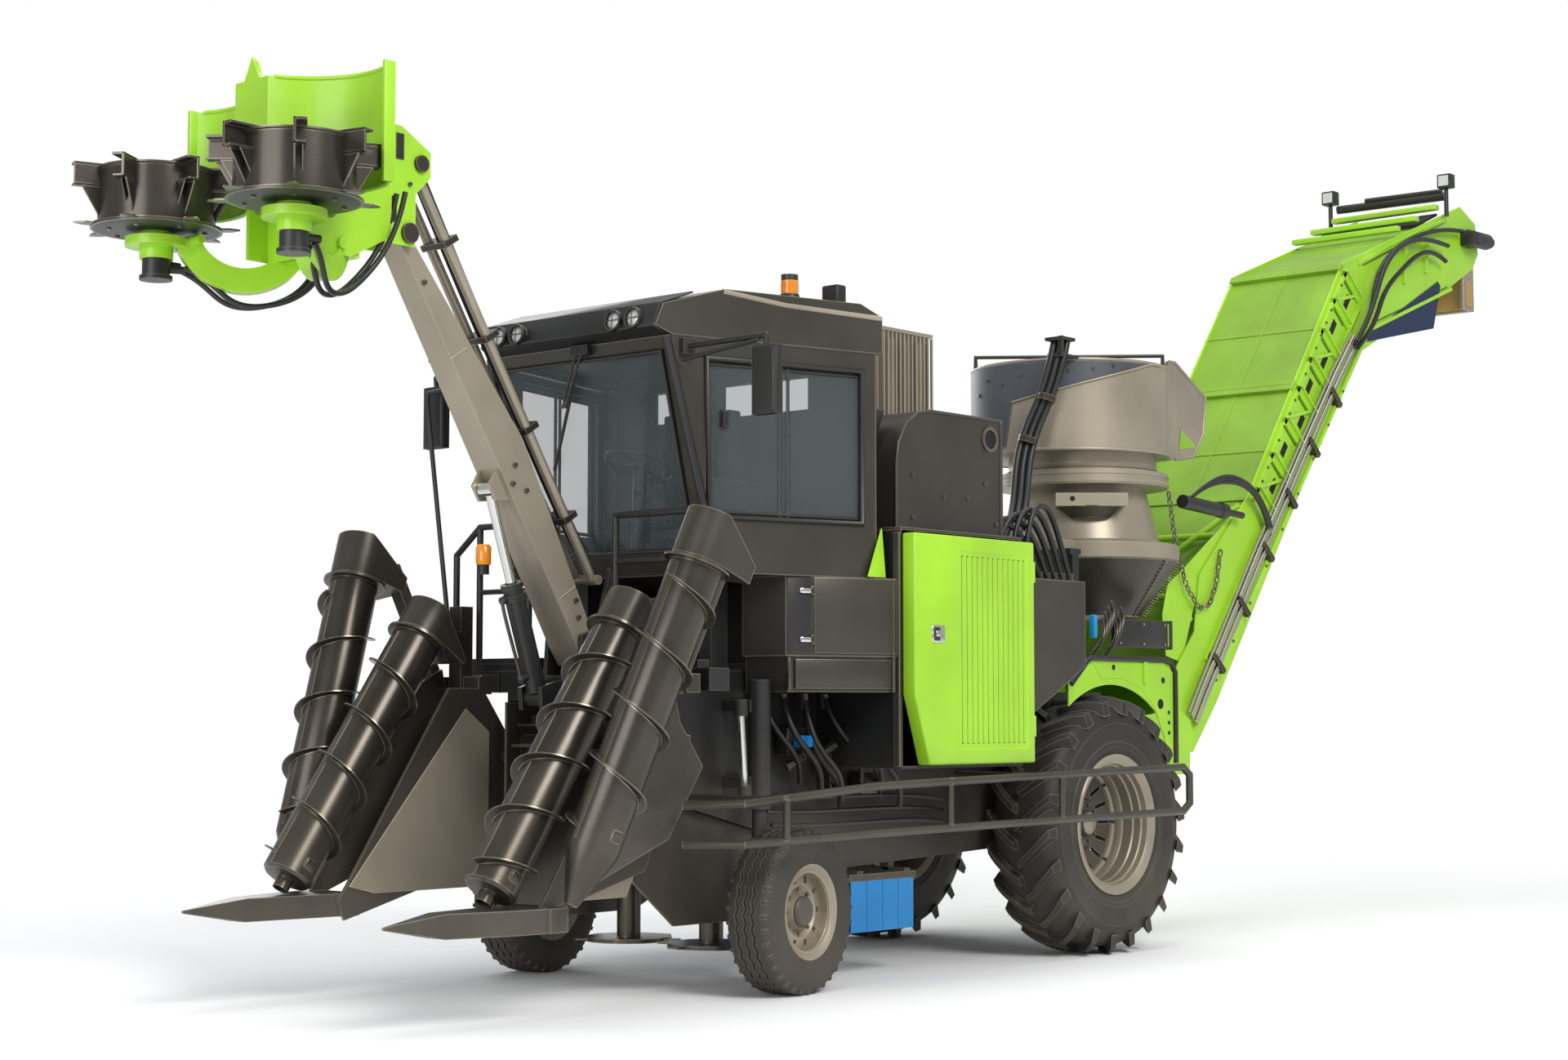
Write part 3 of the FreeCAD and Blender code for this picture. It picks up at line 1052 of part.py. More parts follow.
def make_level_rod():
    rods = []
    for k, y in enumerate((-70, 46)):
        rods.append(cylinder(f"level_tube_{k}", (0, y + 12, 0), 24, S.boom_length, "X"))
    rods.append(cylinder("level_foot", (0, -S.boom_width / 2 - 5.7, 0), 25, S.boom_width + 11.4, "Y"))
    rods.append(cylinder("level_top", (S.boom_length, -S.head_half - 16, 0), 25, 2 * S.head_half + 32, "Y"))
    rod = fuse("level_rod", rods)
    node("level_rod", turned_about_y(rod, (S.boom_pivot_x + S.level_dx, 0, S.boom_pivot_z + S.level_dz), S.boom_angle))


def make_ram():
    """Lift cylinder between the front frame and the boom's belly."""
    foot = (3640, 1450)
    eye = (3978, 2455)
    run = math.hypot(eye[0] - foot[0], eye[1] - foot[1])
    angle = math.degrees(math.atan2(eye[1] - foot[1], eye[0] - foot[0]))
    barrel = [cylinder("ram_tube", (36, 0, 0), 50, 540, "X"), cylinder("ram_foot", (0, -60 + S.running_gap, 0), 42, 120 - 2 * S.running_gap, "Y")]
    bore = cylinder("ram_bore", (80, 0, 0), 29, 430, "X")
    gland = cylinder("ram_gland", (480, 0, 0), 25 + S.running_gap, 200, "X")
    shape = cut("boom_cylinder", fuse("ram_body", barrel), [bore, gland])
    node("boom_cylinder", turned_about_y(shape, (foot[0], 0, foot[1]), angle))
    rod = fuse("boom_rod", [cylinder("rod_bar", (340, 0, 0), 25, run - 340, "X"),
                            cylinder("rod_eye", (run, -46, 0), 38, 92, "Y")])
    node("boom_rod", turned_about_y(rod, (foot[0], 0, foot[1]), angle))


def make_topper():
    top_x, top_z = boom_top()
    back = S.drum_x - 285
    parts = [box("head_plate", (top_x + 190, -216, top_z - 60), (24, 432, 560)),
             box("arm_root", (top_x + 360, -200, top_z - 180), (150, 400, 130)),
             box("head_front", (top_x + 540, -200, top_z - 180), (24, 400, 330)),
             box("head_floor", (top_x + 190, -200, top_z - 66), (374, 400, 16))]
    for side, sign in (("left", 1), ("right", -1)):
        fork = ((top_x - 40, top_z - 60), (top_x + 200, top_z - 60), (top_x + 200, top_z + 500), (top_x + 50, top_z + 500),
                (top_x - 130, top_z + 400), (top_x - 130, top_z + 280), (top_x - 40, top_z + 190))
        low = S.head_half if sign > 0 else -S.head_half - 16
        parts.append(prism(f"head_fork_{side}", "XZ", fork, low, low + 16))
        wing = ((top_x + 190, top_z - 60), (top_x + 420, top_z - 180), (back, top_z - 180), (back, top_z + 480),
                (top_x + 190, top_z + 500))
        low = 200 if sign > 0 else -216
        parts.append(prism(f"head_side_{side}", "XZ", wing, low, low + 16))
    rooms = [cylinder("level_pin_room", (top_x + S.level_dx, -140, top_z + S.level_dz), 25 + S.running_gap, 280, "Y"),
             cylinder("tip_pin_room", (top_x, -140, top_z), 30 + S.running_gap, 280, "Y")]
    head = cut("head_core", fuse("head_solid", parts), rooms)

    curved = []
    drum_x, drum_y, drum_z = float(S.drum_x), float(S.drum_y), float(S.drum_z)
    reach = float(S.paddle_reach)
    for sign in (1, -1):
        # half-round shield behind the drum
        shield = Part.makeCylinder(reach + 40, 525, Vector(drum_x, sign * drum_y, drum_z + 115))
        shield = shield.cut(Part.makeCylinder(reach + 28, 560, Vector(drum_x, sign * drum_y, drum_z + 100)))
        curved.append(shield.common(Part.makeBox(500, 700, 900, Vector(drum_x - 640, 0 if sign > 0 else -700, drum_z))))
        # bowed arm below, splayed from the middle of the head to the drum's motor
        face = Part.Face(Part.makePolygon([Vector(215, -45, 0), Vector(325, -45, 0), Vector(325, 45, 0), Vector(215, 45, 0),
                                           Vector(215, -45, 0)]))
        bow = face.revolve(Vector(0, 0, 0), Vector(0, 1, 0), 140)
        bow.rotate(Vector(0, 0, 0), Vector(0, 1, 0), 20)
        bow.rotate(Vector(0, 0, 0), Vector(0, 0, 1), sign * 32.8)
        bow.translate(Vector(drum_x - 315, sign * (drum_y - 220), drum_z + 55))
        curved.append(bow)
        curved.append(Part.makeCylinder(75, 130, Vector(drum_x, sign * drum_y, drum_z - 130.3)))
        curved.append(Part.makeCylinder(140, 40, Vector(drum_x, sign * drum_y, drum_z - 75)))
    curved.append(Part.makeBox(18, 224, 525, Vector(drum_x - 158, -112, drum_z + 115)))
    eye = [Vector(drum_x - 158, -60, drum_z + 630), Vector(drum_x - 158, 60, drum_z + 630),
           Vector(drum_x - 158, 0, drum_z + 745), Vector(drum_x - 158, -60, drum_z + 630)]
    curved.append(Part.Face(Part.makePolygon(eye)).extrude(Vector(18, 0, 0)))
    node("topper_head", fuse("topper_head", [head, direct("head_curves", joined(curved))]))

    for side, sign in (("left", 1), ("right", -1)):
        z = S.drum_z
        drum = [cylinder(f"drum_shell_{side}", (0, 0, z), S.drum_radius, S.drum_height),
                cylinder(f"drum_disc_{side}", (0, 0, z + 1), S.drum_radius + 34, 16)]
        paddle_count = 7
        for i in range(paddle_count):
            turn = Rotation(Vector(0, 0, 1), 360 * i / paddle_count)
            paddle = DOC.addObject("Part::Box", f"paddle_{side}_{i}")
            bind(paddle, "Length", S.paddle_reach - 160)
            paddle.Width, paddle.Height = 12, 110
            paddle.Placement = Placement(turn.multVec(Vector(160, -6, 0)), turn)
            paddle.setExpression("Placement.Base.z", (z + S.drum_height - 90).text)
            drum.append(paddle)
            knife = DOC.addObject("Part::Box", f"topper_knife_{side}_{i}")
            bind(knife, "Length", S.paddle_reach - 200)
            knife.Width, knife.Height = 60, 8
            knife.Placement = Placement(turn.multVec(Vector(190, -30, 0)), turn)
            knife.setExpression("Placement.Base.z", (z + 5).text)
            drum.append(knife)
        node(f"topper_drum_{side}", put(fuse(f"topper_drum_{side}", drum), (S.drum_x, sign * S.drum_y, 0)))


# Rails, guards and small fittings

def make_fittings():
    y = float(S.rail_y)
    radius = float(S.rail_radius)
    rails = []
    for sign in (1, -1):
        upper = [(3560, sign * 900, 940), (3420, sign * (y - 60), 950), (2500, sign * y, 1015), (-330, sign * y, 1065)]
        lower = [(3560, sign * 900, 760), (3420, sign * (y - 60), 762), (2500, sign * y, 785), (-330, sign * y, 812)]
        loop = [(-400, sign * y, 1020), (-400, sign * y, 856)]
        shape = bent_tube(upper + loop + lower[::-1], radius)
        shape = shape.fuse([bar("", (1900, sign * y, 795), (1900, sign * y, 1045), radius * 0.8),
                            bar("", (900, sign * y, 800), (900, sign * y, 1050), radius * 0.8),
                            bar("", (3160, sign * (y - 20), 770), (3160, sign * (y - 20), 965), radius * 0.8),
                            bar("", (3160, sign * 500.3, 965), (3160, sign * (y - 20), 965), radius * 0.8),
                            bar("", (900, sign * 500.3, 1035), (900, sign * y, 1035), radius * 0.8)])
        rails.append(shape)
    node("guard_rails", direct("guard_rails", Part.makeCompound(rails)))

    arch = float(S.rear_tyre_radius) + 60
    fenders = []
    for side, sign in (("left", 1), ("right", -1)):
        outline = [Vector(430, 0, 1540), Vector(260, 0, 1690), Vector(-640, 0, 1690), Vector(-660, 0, 1080),
                   Vector(-560, 0, 1080), Vector(430, 0, 1400), Vector(430, 0, 1540)]
        plate = Part.Face(Part.makePolygon(outline)).extrude(Vector(0, 10, 0))
        plate.translate(Vector(0, sign * 940 - 5, 0))
        plate = plate.cut(Part.makeCylinder(arch, 2400, Vector(0, -1200, float(S.rear_tyre_radius)), Vector(0, 1, 0)))
        top = Part.makeBox(700, 440, 10, Vector(-440, sign * 720 - 220, 1680))
        stays = [Part.makeBox(60, 56, 180, Vector(x0, sign * 512 - 28, 1500)) for x0 in (-300, 150)]
        fenders.append(plate.fuse([top] + stays))
    node("fenders", direct("fenders", Part.makeCompound(fenders)))

    curtain = [box(f"mud_curtain_{k}", (1050, y0, 200), (900, 10, 300)) for k, y0 in enumerate((-600, 590))]
    hanger = [box(f"mud_hanger_{k}", (1100 + 700 * k, -600, 480), (60, 1200, 107.75 - 26.25 * k))
              for k in range(2)]
    node("mud_flap", fuse("mud_flap", curtain + hanger))

    deck = Part.makeBox(340, 640, 30, Vector(3035, -950, 1625))
    arm = Part.makeBox(110, 640, 40, Vector(3250, -950, 1590))
    rails = [tube_run([(3360, -370, 1640), (3360, -370, 2340), (3360, -740, 2340), (3360, -740, 1640)], 17),
             bar("", (3360, -370, 2000), (3360, -740, 2000), 14),
             tube_run([(3360, -740, 2340), (3360, -920, 2200), (3360, -920, 1640)], 17),
             tube_run([(3360, 250, 1600), (3360, 250, 2350), (3360, 760, 2350), (3360, 760, 1600)], 17),
             bar("", (3360, 250, 2120), (3360, 760, 2120), 14)]
    left_deck = Part.makeBox(80, 620, 40, Vector(3295, 200, 1590))
    node("walkway", direct("walkway", Part.makeCompound([joined([deck, arm] + rails[:3]),
                                                         joined([left_deck] + rails[3:])])))

    mirrors = []
    for side, sign in (("left", 1), ("right", -1)):
        head = Part.makeBox(52, 150, 330, Vector(3258, sign * 1180 - 75, 2790))
        stay = tube_run([(3310, sign * 675, 3160), (3290, sign * 1180, 3170), (3284, sign * 1180, 3100)], 14)
        foot = flared_block(sign, 3270, 3340, 3120, 3200, 34)
        mirrors.append(joined([head, stay, foot]))
    node("mirrors", direct("mirrors", Part.makeCompound(mirrors)))


def check_and_write():
    DOC.recompute()
    for thing in DOC.Objects:
        for word in ("Invalid", "Error"):
            if word in thing.State:
                raise RuntimeError(f"{thing.Name} {thing.Label}: {thing.State}")
    os.makedirs("parts", exist_ok=True)
    for thing in NODES:
        shape = thing.Shape
        if shape.isNull() or not shape.isValid():
            raise RuntimeError(f"{thing.Label}: shape is null or not valid")
        shape.exportStep(f"parts/{thing.Label}.step")
        low = shape.BoundBox
        print(f"{thing.Label:22s} solids {len(shape.Solids)} volume {shape.Volume / 1e9:.4f} "
              f"X {low.XMin:.0f}..{low.XMax:.0f} Y {low.YMin:.0f}..{low.YMax:.0f} Z {low.ZMin:.0f}..{low.ZMax:.0f}")


make_wheels()
make_running_gear()
make_frame()
make_throat()
make_cab()
make_bodywork()
make_engine_doors()
make_extractor()
make_elevator()
make_dividers()
make_boom()
make_level_rod()
make_ram()
make_topper()
make_fittings()
check_and_write()
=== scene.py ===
import json
import math

import bpy
from mathutils import Matrix, Vector


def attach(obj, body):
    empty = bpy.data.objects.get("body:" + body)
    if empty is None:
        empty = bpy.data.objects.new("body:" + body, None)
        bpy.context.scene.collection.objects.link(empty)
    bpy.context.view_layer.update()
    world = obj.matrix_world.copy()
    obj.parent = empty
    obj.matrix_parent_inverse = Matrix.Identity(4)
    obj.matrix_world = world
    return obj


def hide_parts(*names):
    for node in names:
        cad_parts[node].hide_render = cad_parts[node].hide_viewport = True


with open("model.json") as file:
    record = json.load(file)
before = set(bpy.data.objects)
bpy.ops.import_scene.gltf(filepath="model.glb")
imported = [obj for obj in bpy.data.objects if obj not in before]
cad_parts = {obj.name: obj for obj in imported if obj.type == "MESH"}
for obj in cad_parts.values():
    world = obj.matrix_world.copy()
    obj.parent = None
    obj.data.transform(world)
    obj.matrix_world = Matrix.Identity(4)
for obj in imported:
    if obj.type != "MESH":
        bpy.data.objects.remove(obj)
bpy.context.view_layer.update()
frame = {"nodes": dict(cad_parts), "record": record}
nodes = frame["nodes"]


# Camera, light and floor

def look_camera():
    """The photograph's view: low, from the front left."""
    bearing = math.radians(40.79)
    tilt = math.radians(4.27)
    ahead = Vector((-math.cos(bearing) * math.cos(tilt), -math.sin(bearing) * math.cos(tilt), math.sin(tilt)))
    data = bpy.data.cameras.new("camera")
    data.sensor_width = 36
    data.lens = 3046 / 1920 * 36
    data.clip_end = 200
    camera = bpy.data.objects.new("camera", data)
    bpy.context.scene.collection.objects.link(camera)
    camera.location = (12.12, 8.91, 1.361)
    camera.rotation_euler = ahead.to_track_quat("-Z", "Y").to_euler()
    bpy.context.scene.camera = camera
    return camera


def area_light(name, place, target, size, power, colour=(1, 1, 1)):
    data = bpy.data.lights.new(name, "AREA")
    data.shape = "RECTANGLE"
    data.size, data.size_y = size
    data.energy = power
    data.color = colour
    light = bpy.data.objects.new(name, data)
    bpy.context.scene.collection.objects.link(light)
    light.location = place
    light.rotation_euler = (Vector(target) - Vector(place)).to_track_quat("-Z", "Y").to_euler()
    return light


def studio():
    world = bpy.data.worlds.new("studio")
    bpy.context.scene.world = world
    world.use_nodes = True
    tree = world.node_tree
    tree.nodes.clear()
    out = tree.nodes.new("ShaderNodeOutputWorld")
    mix = tree.nodes.new("ShaderNodeMixShader")
    paths = tree.nodes.new("ShaderNodeLightPath")
    seen = tree.nodes.new("ShaderNodeBackground")
    seen.inputs["Color"].default_value = (1, 1, 1, 1)
    seen.inputs["Strength"].default_value = 1.0
    lit = tree.nodes.new("ShaderNodeBackground")
    lit.inputs["Color"].default_value = (0.97, 0.98, 1.0, 1)
    lit.inputs["Strength"].default_value = 0.55
    either = tree.nodes.new("ShaderNodeMath")
    either.operation = "MAXIMUM"
    tree.links.new(paths.outputs["Is Camera Ray"], either.inputs[0])
    tree.links.new(paths.outputs["Is Transmission Ray"], either.inputs[1])
    tree.links.new(either.outputs[0], mix.inputs[0])
    tree.links.new(lit.outputs[0], mix.inputs[1])
    tree.links.new(seen.outputs[0], mix.inputs[2])
    tree.links.new(mix.outputs[0], out.inputs["Surface"])
    area_light("key", (6, 15, 13), (0, 0, 1.6), (7, 7), 2300, (1.0, 0.985, 0.95))
    area_light("front_fill", (17, 2, 5), (1, 0, 2), (8, 6), 620)
    area_light("back_fill", (-6, -15, 8), (-1, 0, 2), (9, 7), 800)
    area_light("crown", (-1, 0, 15), (-1, 0, 0), (12, 8), 760)


def floor():
    fresh()
    bpy.ops.mesh.primitive_plane_add(size=160, location=(0, 0, 0))
    piece = bpy.context.object
    piece.name = "floor"
    mat = bpy.data.materials.new("floor")
    mat.use_nodes = True
    tree = mat.node_tree
    tree.nodes.clear()
    out = tree.nodes.new("ShaderNodeOutputMaterial")
    matte = tree.nodes.new("ShaderNodeBsdfDiffuse")
    matte.inputs["Color"].default_value = (0.90, 0.91, 0.92, 1)
    glow = tree.nodes.new("ShaderNodeEmission")
    glow.inputs["Strength"].default_value = 1.0
    paths = tree.nodes.new("ShaderNodeLightPath")
    place = tree.nodes.new("ShaderNodeTexCoord")
    length = tree.nodes.new("ShaderNodeVectorMath")
    length.operation = "LENGTH"
    fade = tree.nodes.new("ShaderNodeMapRange")
    fade.inputs["From Min"].default_value = 5.5
    fade.inputs["From Max"].default_value = 9.5
    seen = tree.nodes.new("ShaderNodeMath")
    seen.operation = "MULTIPLY"
    mix = tree.nodes.new("ShaderNodeMixShader")
    tree.links.new(place.outputs["Object"], length.inputs[0])
    tree.links.new(length.outputs["Value"], fade.inputs["Value"])
    tree.links.new(paths.outputs["Is Camera Ray"], seen.inputs[0])
    tree.links.new(fade.outputs["Result"], seen.inputs[1])
    tree.links.new(seen.outputs[0], mix.inputs[0])
    tree.links.new(matte.outputs[0], mix.inputs[1])
    tree.links.new(glow.outputs[0], mix.inputs[2])
    tree.links.new(mix.outputs[0], out.inputs["Surface"])
    piece.data.materials.append(mat)


# Finishes

def group_socket(group, name, way, kind, value=None):
    socket = group.interface.new_socket(name=name, in_out=way, socket_type=kind)
    if value is not None:
        socket.default_value = value
    return socket


def make_dust_and_edge_highlight_film():
    """Paint film: broad colour drift, fine grain, dust low down and a painted highlight along edges."""
    group = bpy.data.node_groups.new("dust_and_highlight_film", "ShaderNodeTree")
    group_socket(group, "Color", "INPUT", "NodeSocketColor", (0.5, 0.5, 0.5, 1))
    group_socket(group, "Edge Color", "INPUT", "NodeSocketColor", (0.7, 0.65, 0.55, 1))
    group_socket(group, "Edge", "INPUT", "NodeSocketFloat", 0.5)
    group_socket(group, "Dust", "INPUT", "NodeSocketFloat", 0.3)
    group_socket(group, "Drift", "INPUT", "NodeSocketFloat", 0.12)
    group_socket(group, "Roughness", "INPUT", "NodeSocketFloat", 0.4)
    group_socket(group, "Color", "OUTPUT", "NodeSocketColor")
    group_socket(group, "Roughness", "OUTPUT", "NodeSocketFloat")
    group_socket(group, "Height", "OUTPUT", "NodeSocketFloat")
    new, link = group.nodes.new, group.links.new
    given = new("NodeGroupInput")
    result = new("NodeGroupOutput")
    place = new("ShaderNodeTexCoord")
    broad = new("ShaderNodeTexNoise")
    broad.inputs["Scale"].default_value = 2.2
    broad.inputs["Detail"].default_value = 5
    fine = new("ShaderNodeTexNoise")
    fine.inputs["Scale"].default_value = 95
    fine.inputs["Detail"].default_value = 3
    link(place.outputs["Object"], broad.inputs["Vector"])
    link(place.outputs["Object"], fine.inputs["Vector"])
    # drift: darkens and lightens the colour a little
    span = new("ShaderNodeMapRange")
    span.inputs["From Min"].default_value = 0.3
    span.inputs["From Max"].default_value = 0.7
    span.inputs["To Min"].default_value = -1
    span.inputs["To Max"].default_value = 1
    link(broad.outputs["Fac"], span.inputs["Value"])
    drift = new("ShaderNodeMath")
    drift.operation = "MULTIPLY_ADD"
    link(span.outputs["Result"], drift.inputs[0])
    link(given.outputs["Drift"], drift.inputs[1])
    drift.inputs[2].default_value = 1
    tone = new("ShaderNodeVectorMath")
    tone.operation = "SCALE"
    link(given.outputs["Color"], tone.inputs[0])
    link(drift.outputs[0], tone.inputs["Scale"])
    # dust gathers near the ground
    parts = new("ShaderNodeSeparateXYZ")
    link(place.outputs["Object"], parts.inputs[0])
    low = new("ShaderNodeMapRange")
    low.inputs["From Min"].default_value = 1.3
    low.inputs["From Max"].default_value = 0.15
    link(parts.outputs["Z"], low.inputs["Value"])
    patch = new("ShaderNodeMath")
    patch.operation = "MULTIPLY"
    link(low.outputs["Result"], patch.inputs[0])
    link(broad.outputs["Fac"], patch.inputs[1])
    dust = new("ShaderNodeMath")
    dust.operation = "MULTIPLY"
    link(patch.outputs[0], dust.inputs[0])
    link(given.outputs["Dust"], dust.inputs[1])
    dusty = new("ShaderNodeMix")
    dusty.data_type = "RGBA"
    link(dust.outputs[0], dusty.inputs["Factor"])
    link(tone.outputs["Vector"], dusty.inputs["A"])
    dusty.inputs["B"].default_value = (0.33, 0.28, 0.21, 1)
    # painted highlight: near edges, found from the bevel normal, the colour is mixed towards the lighter edge
    # colour
    bevel = new("ShaderNodeBevel")
    bevel.samples = 4
    bevel.inputs["Radius"].default_value = 0.009
    shape = new("ShaderNodeNewGeometry")
    dot = new("ShaderNodeVectorMath")
    dot.operation = "DOT_PRODUCT"
    link(bevel.outputs["Normal"], dot.inputs[0])
    link(shape.outputs["Normal"], dot.inputs[1])
    edge = new("ShaderNodeMapRange")
    edge.inputs["From Min"].default_value = 0.985
    edge.inputs["From Max"].default_value = 0.86
    link(dot.outputs["Value"], edge.inputs["Value"])
    edge_highlight = new("ShaderNodeMath")
    edge_highlight.operation = "MULTIPLY"
    link(edge.outputs["Result"], edge_highlight.inputs[0])
    link(given.outputs["Edge"], edge_highlight.inputs[1])
    highlighted = new("ShaderNodeMix")
    highlighted.data_type = "RGBA"
    link(edge_highlight.outputs[0], highlighted.inputs["Factor"])
    link(dusty.outputs["Result"], highlighted.inputs["A"])
    link(given.outputs["Edge Color"], highlighted.inputs["B"])
    link(highlighted.outputs["Result"], result.inputs["Color"])
    # roughness rises with dust
    rough = new("ShaderNodeMath")
    rough.operation = "MULTIPLY_ADD"
    link(dust.outputs[0], rough.inputs[0])
    rough.inputs[1].default_value = 0.5
    link(given.outputs["Roughness"], rough.inputs[2])
    link(rough.outputs[0], result.inputs["Roughness"])
    link(fine.outputs["Fac"], result.inputs["Height"])
    return group


DUST_AND_HIGHLIGHT_FILM = make_dust_and_edge_highlight_film()


# the second colour is the painted edge highlight; the film also adds colour drift, grain and dust
def painted(name, colour, highlight_colour, rough, metal=0.0, edge=0.5, dust=0.3, drift=0.12, bump=0.15, coat=0.0):
    mat = bpy.data.materials.new(name)
    mat.use_nodes = True
    mat.diffuse_color = (*colour, 1)
    tree = mat.node_tree
    shader = tree.nodes["Principled BSDF"]
    film = tree.nodes.new("ShaderNodeGroup")
    film.node_tree = DUST_AND_HIGHLIGHT_FILM
    film.inputs["Color"].default_value = (*colour, 1)
    film.inputs["Edge Color"].default_value = (*highlight_colour, 1)
    for socket, value in (("Edge", edge), ("Dust", dust), ("Drift", drift), ("Roughness", rough)):
        film.inputs[socket].default_value = value
    grain = tree.nodes.new("ShaderNodeBump")
    grain.inputs["Strength"].default_value = bump
    grain.inputs["Distance"].default_value = 0.002
    tree.links.new(film.outputs["Color"], shader.inputs["Base Color"])
    tree.links.new(film.outputs["Roughness"], shader.inputs["Roughness"])
    tree.links.new(film.outputs["Height"], grain.inputs["Height"])
    tree.links.new(grain.outputs["Normal"], shader.inputs["Normal"])
    shader.inputs["Metallic"].default_value = metal
    shader.inputs["Coat Weight"].default_value = coat
    shader.inputs["Coat Roughness"].default_value = 0.12
    return mat


def clear(name, colour, alpha, rough=0.05):
    mat = bpy.data.materials.new(name)
    mat.use_nodes = True
    shader = mat.node_tree.nodes["Principled BSDF"]
    shader.inputs["Base Color"].default_value = (*colour, 1)
    shader.inputs["Roughness"].default_value = rough
    shader.inputs["Alpha"].default_value = alpha
    shader.inputs["Metallic"].default_value = 0
    return mat


# the second colour of each finish below is its painted edge highlight
LIME = painted("lime_paint", (0.31, 0.60, 0.020), (0.56, 0.84, 0.13), 0.38, edge=0.6, dust=0.15, drift=0.10,
               coat=0.15)
COVER = painted("cover_paint", (0.20, 0.385, 0.020), (0.40, 0.66, 0.07), 0.55, edge=0.6, dust=0.15,
                drift=0.16, bump=0.5)
DARK = painted("dark_paint", (0.050, 0.044, 0.036), (0.42, 0.37, 0.27), 0.34, metal=0.35, edge=0.7, dust=0.35,
               drift=0.18)
BEIGE = painted("beige_paint", (0.33, 0.29, 0.225), (0.62, 0.55, 0.42), 0.38, metal=0.45, edge=0.5, dust=0.3,
                drift=0.14)
BLACK = painted("black_paint", (0.012, 0.012, 0.012), (0.16, 0.14, 0.11), 0.42, edge=0.5, dust=0.5, drift=0.2)
STEEL = painted("dark_steel", (0.060, 0.052, 0.043), (0.50, 0.44, 0.33), 0.26, metal=0.7, edge=0.6, dust=0.35,
                drift=0.25)
CHROME = painted("rod_chrome", (0.62, 0.62, 0.60), (0.8, 0.8, 0.8), 0.12, metal=1.0, edge=0.2, dust=0.1,
                 drift=0.03, bump=0.03)
TYRE = painted("tyre_rubber", (0.016, 0.014, 0.011), (0.20, 0.17, 0.13), 0.60, edge=0.7, dust=0.22, drift=0.3,
               bump=0.6)
BLUE = painted("blue_rubber", (0.0, 0.235, 0.62), (0.1, 0.42, 0.78), 0.5, edge=0.4, dust=0.1, drift=0.08)
NAVY = painted("navy_rubber", (0.0, 0.015, 0.06), (0.02, 0.10, 0.2), 0.5, edge=0.3, dust=0.1, drift=0.08)
# dark lime painted shade for strips in recesses and beside ribs
PAINTED_SHADE = painted("lime_shade", (0.055, 0.115, 0.008), (0.12, 0.24, 0.02), 0.7, edge=0.3, dust=0.1)
TAN = painted("tan_board", (0.40, 0.24, 0.075), (0.60, 0.45, 0.25), 0.6, edge=0.4, dust=0.2)
CLOTH = painted("seat_fabric", (0.013, 0.013, 0.014), (0.06, 0.06, 0.06), 0.85, edge=0.2, dust=0.05,
                drift=0.1, bump=0.6)
GLASS = clear("window_glass", (0.16, 0.20, 0.21), 0.20)
# blue-grey painted shade for the hood's inside and its shaded left facet
HOOD_SHADE = painted("hood_painted_shade", (0.075, 0.085, 0.10), (0.42, 0.42, 0.40), 0.45, metal=0.3, edge=0.5, dust=0.2,
                drift=0.2)
# near-black painted shade for the insides of holes and openings
HOLE_SHADE = painted("hole_shade", (0.004, 0.004, 0.004), (0.01, 0.01, 0.01), 0.8, edge=0.1, dust=0.1)
LAMP = painted("lamp_lens", (0.62, 0.64, 0.62), (0.8, 0.8, 0.8), 0.08, metal=0.2, edge=0.2, dust=0.05,
               drift=0.05, bump=0.02, coat=0.6)
AMBER = painted("amber_lens", (0.85, 0.27, 0.010), (0.95, 0.5, 0.06), 0.15, edge=0.3, dust=0.05, drift=0.05,
                bump=0.02, coat=0.6)

FINISH = {"lime_paint": LIME, "dark_paint": DARK, "beige_paint": BEIGE, "black_paint": BLACK,
          "dark_steel": STEEL,
          "rod_chrome": CHROME, "tyre_rubber": TYRE, "blue_rubber": BLUE, "navy_rubber": NAVY,
          "seat_fabric": CLOTH,
          "window_glass": GLASS}


def dress_nodes():
    """Each carried-over solid takes the finish of its record slot."""
    slots = {row["node"]: row["material_slot"] for row in frame["record"]["subparts"]}
    for name, piece in nodes.items():
        piece.data.materials.clear()
        piece.data.materials.append(FINISH[slots[name]])


# Modelling helpers

def fresh():
    """Leaves nothing selected before a new primitive comes."""
    if bpy.context.object and bpy.context.object.mode != "OBJECT":
        bpy.ops.object.mode_set(mode="OBJECT")
    bpy.ops.object.select_all(action="DESELECT")


def hold(piece):
    """Makes a piece the only one selected."""
    fresh()
    piece.select_set(True)
    bpy.context.view_layer.objects.active = piece


def settle(piece):
    """Puts the object's place into its mesh."""
    hold(piece)
    bpy.ops.object.transform_apply(location=True, rotation=True, scale=True)
    return piece


def block(name, low, high):
    fresh()
    bpy.ops.mesh.primitive_cube_add(size=1, location=[(a + b) / 2 for a, b in zip(low, high)])
    piece = bpy.context.object
    piece.name = name
    piece.scale = [b - a for a, b in zip(low, high)]
    return settle(piece)


def lay(piece, foot, run):
    """Stands a piece that was made along Z on a foot, along a run."""
    turn = Vector((0, 0, 1)).rotation_difference(Vector(run))
    piece.matrix_world = Matrix.Translation(Vector(foot)) @ turn.to_matrix().to_4x4() @ piece.matrix_world
    return settle(piece)


def rod(name, start, end, radius, end_radius=None, sides=24):
    """A round bar or a cone from point to point."""
    start, end = Vector(start), Vector(end)
    run = end - start
    fresh()
    bpy.ops.mesh.primitive_cone_add(vertices=sides, radius1=radius,
                                    radius2=radius if end_radius is None else end_radius,
                                    depth=run.length, location=(0, 0, run.length / 2))
    piece = bpy.context.object
    piece.name = name
    settle(piece)
    return lay(piece, start, run)


PLANES = {"XZ": lambda a, b, c: (a, c, b), "XY": lambda a, b, c: (a, b, c), "YZ": lambda a, b, c: (c, a, b)}


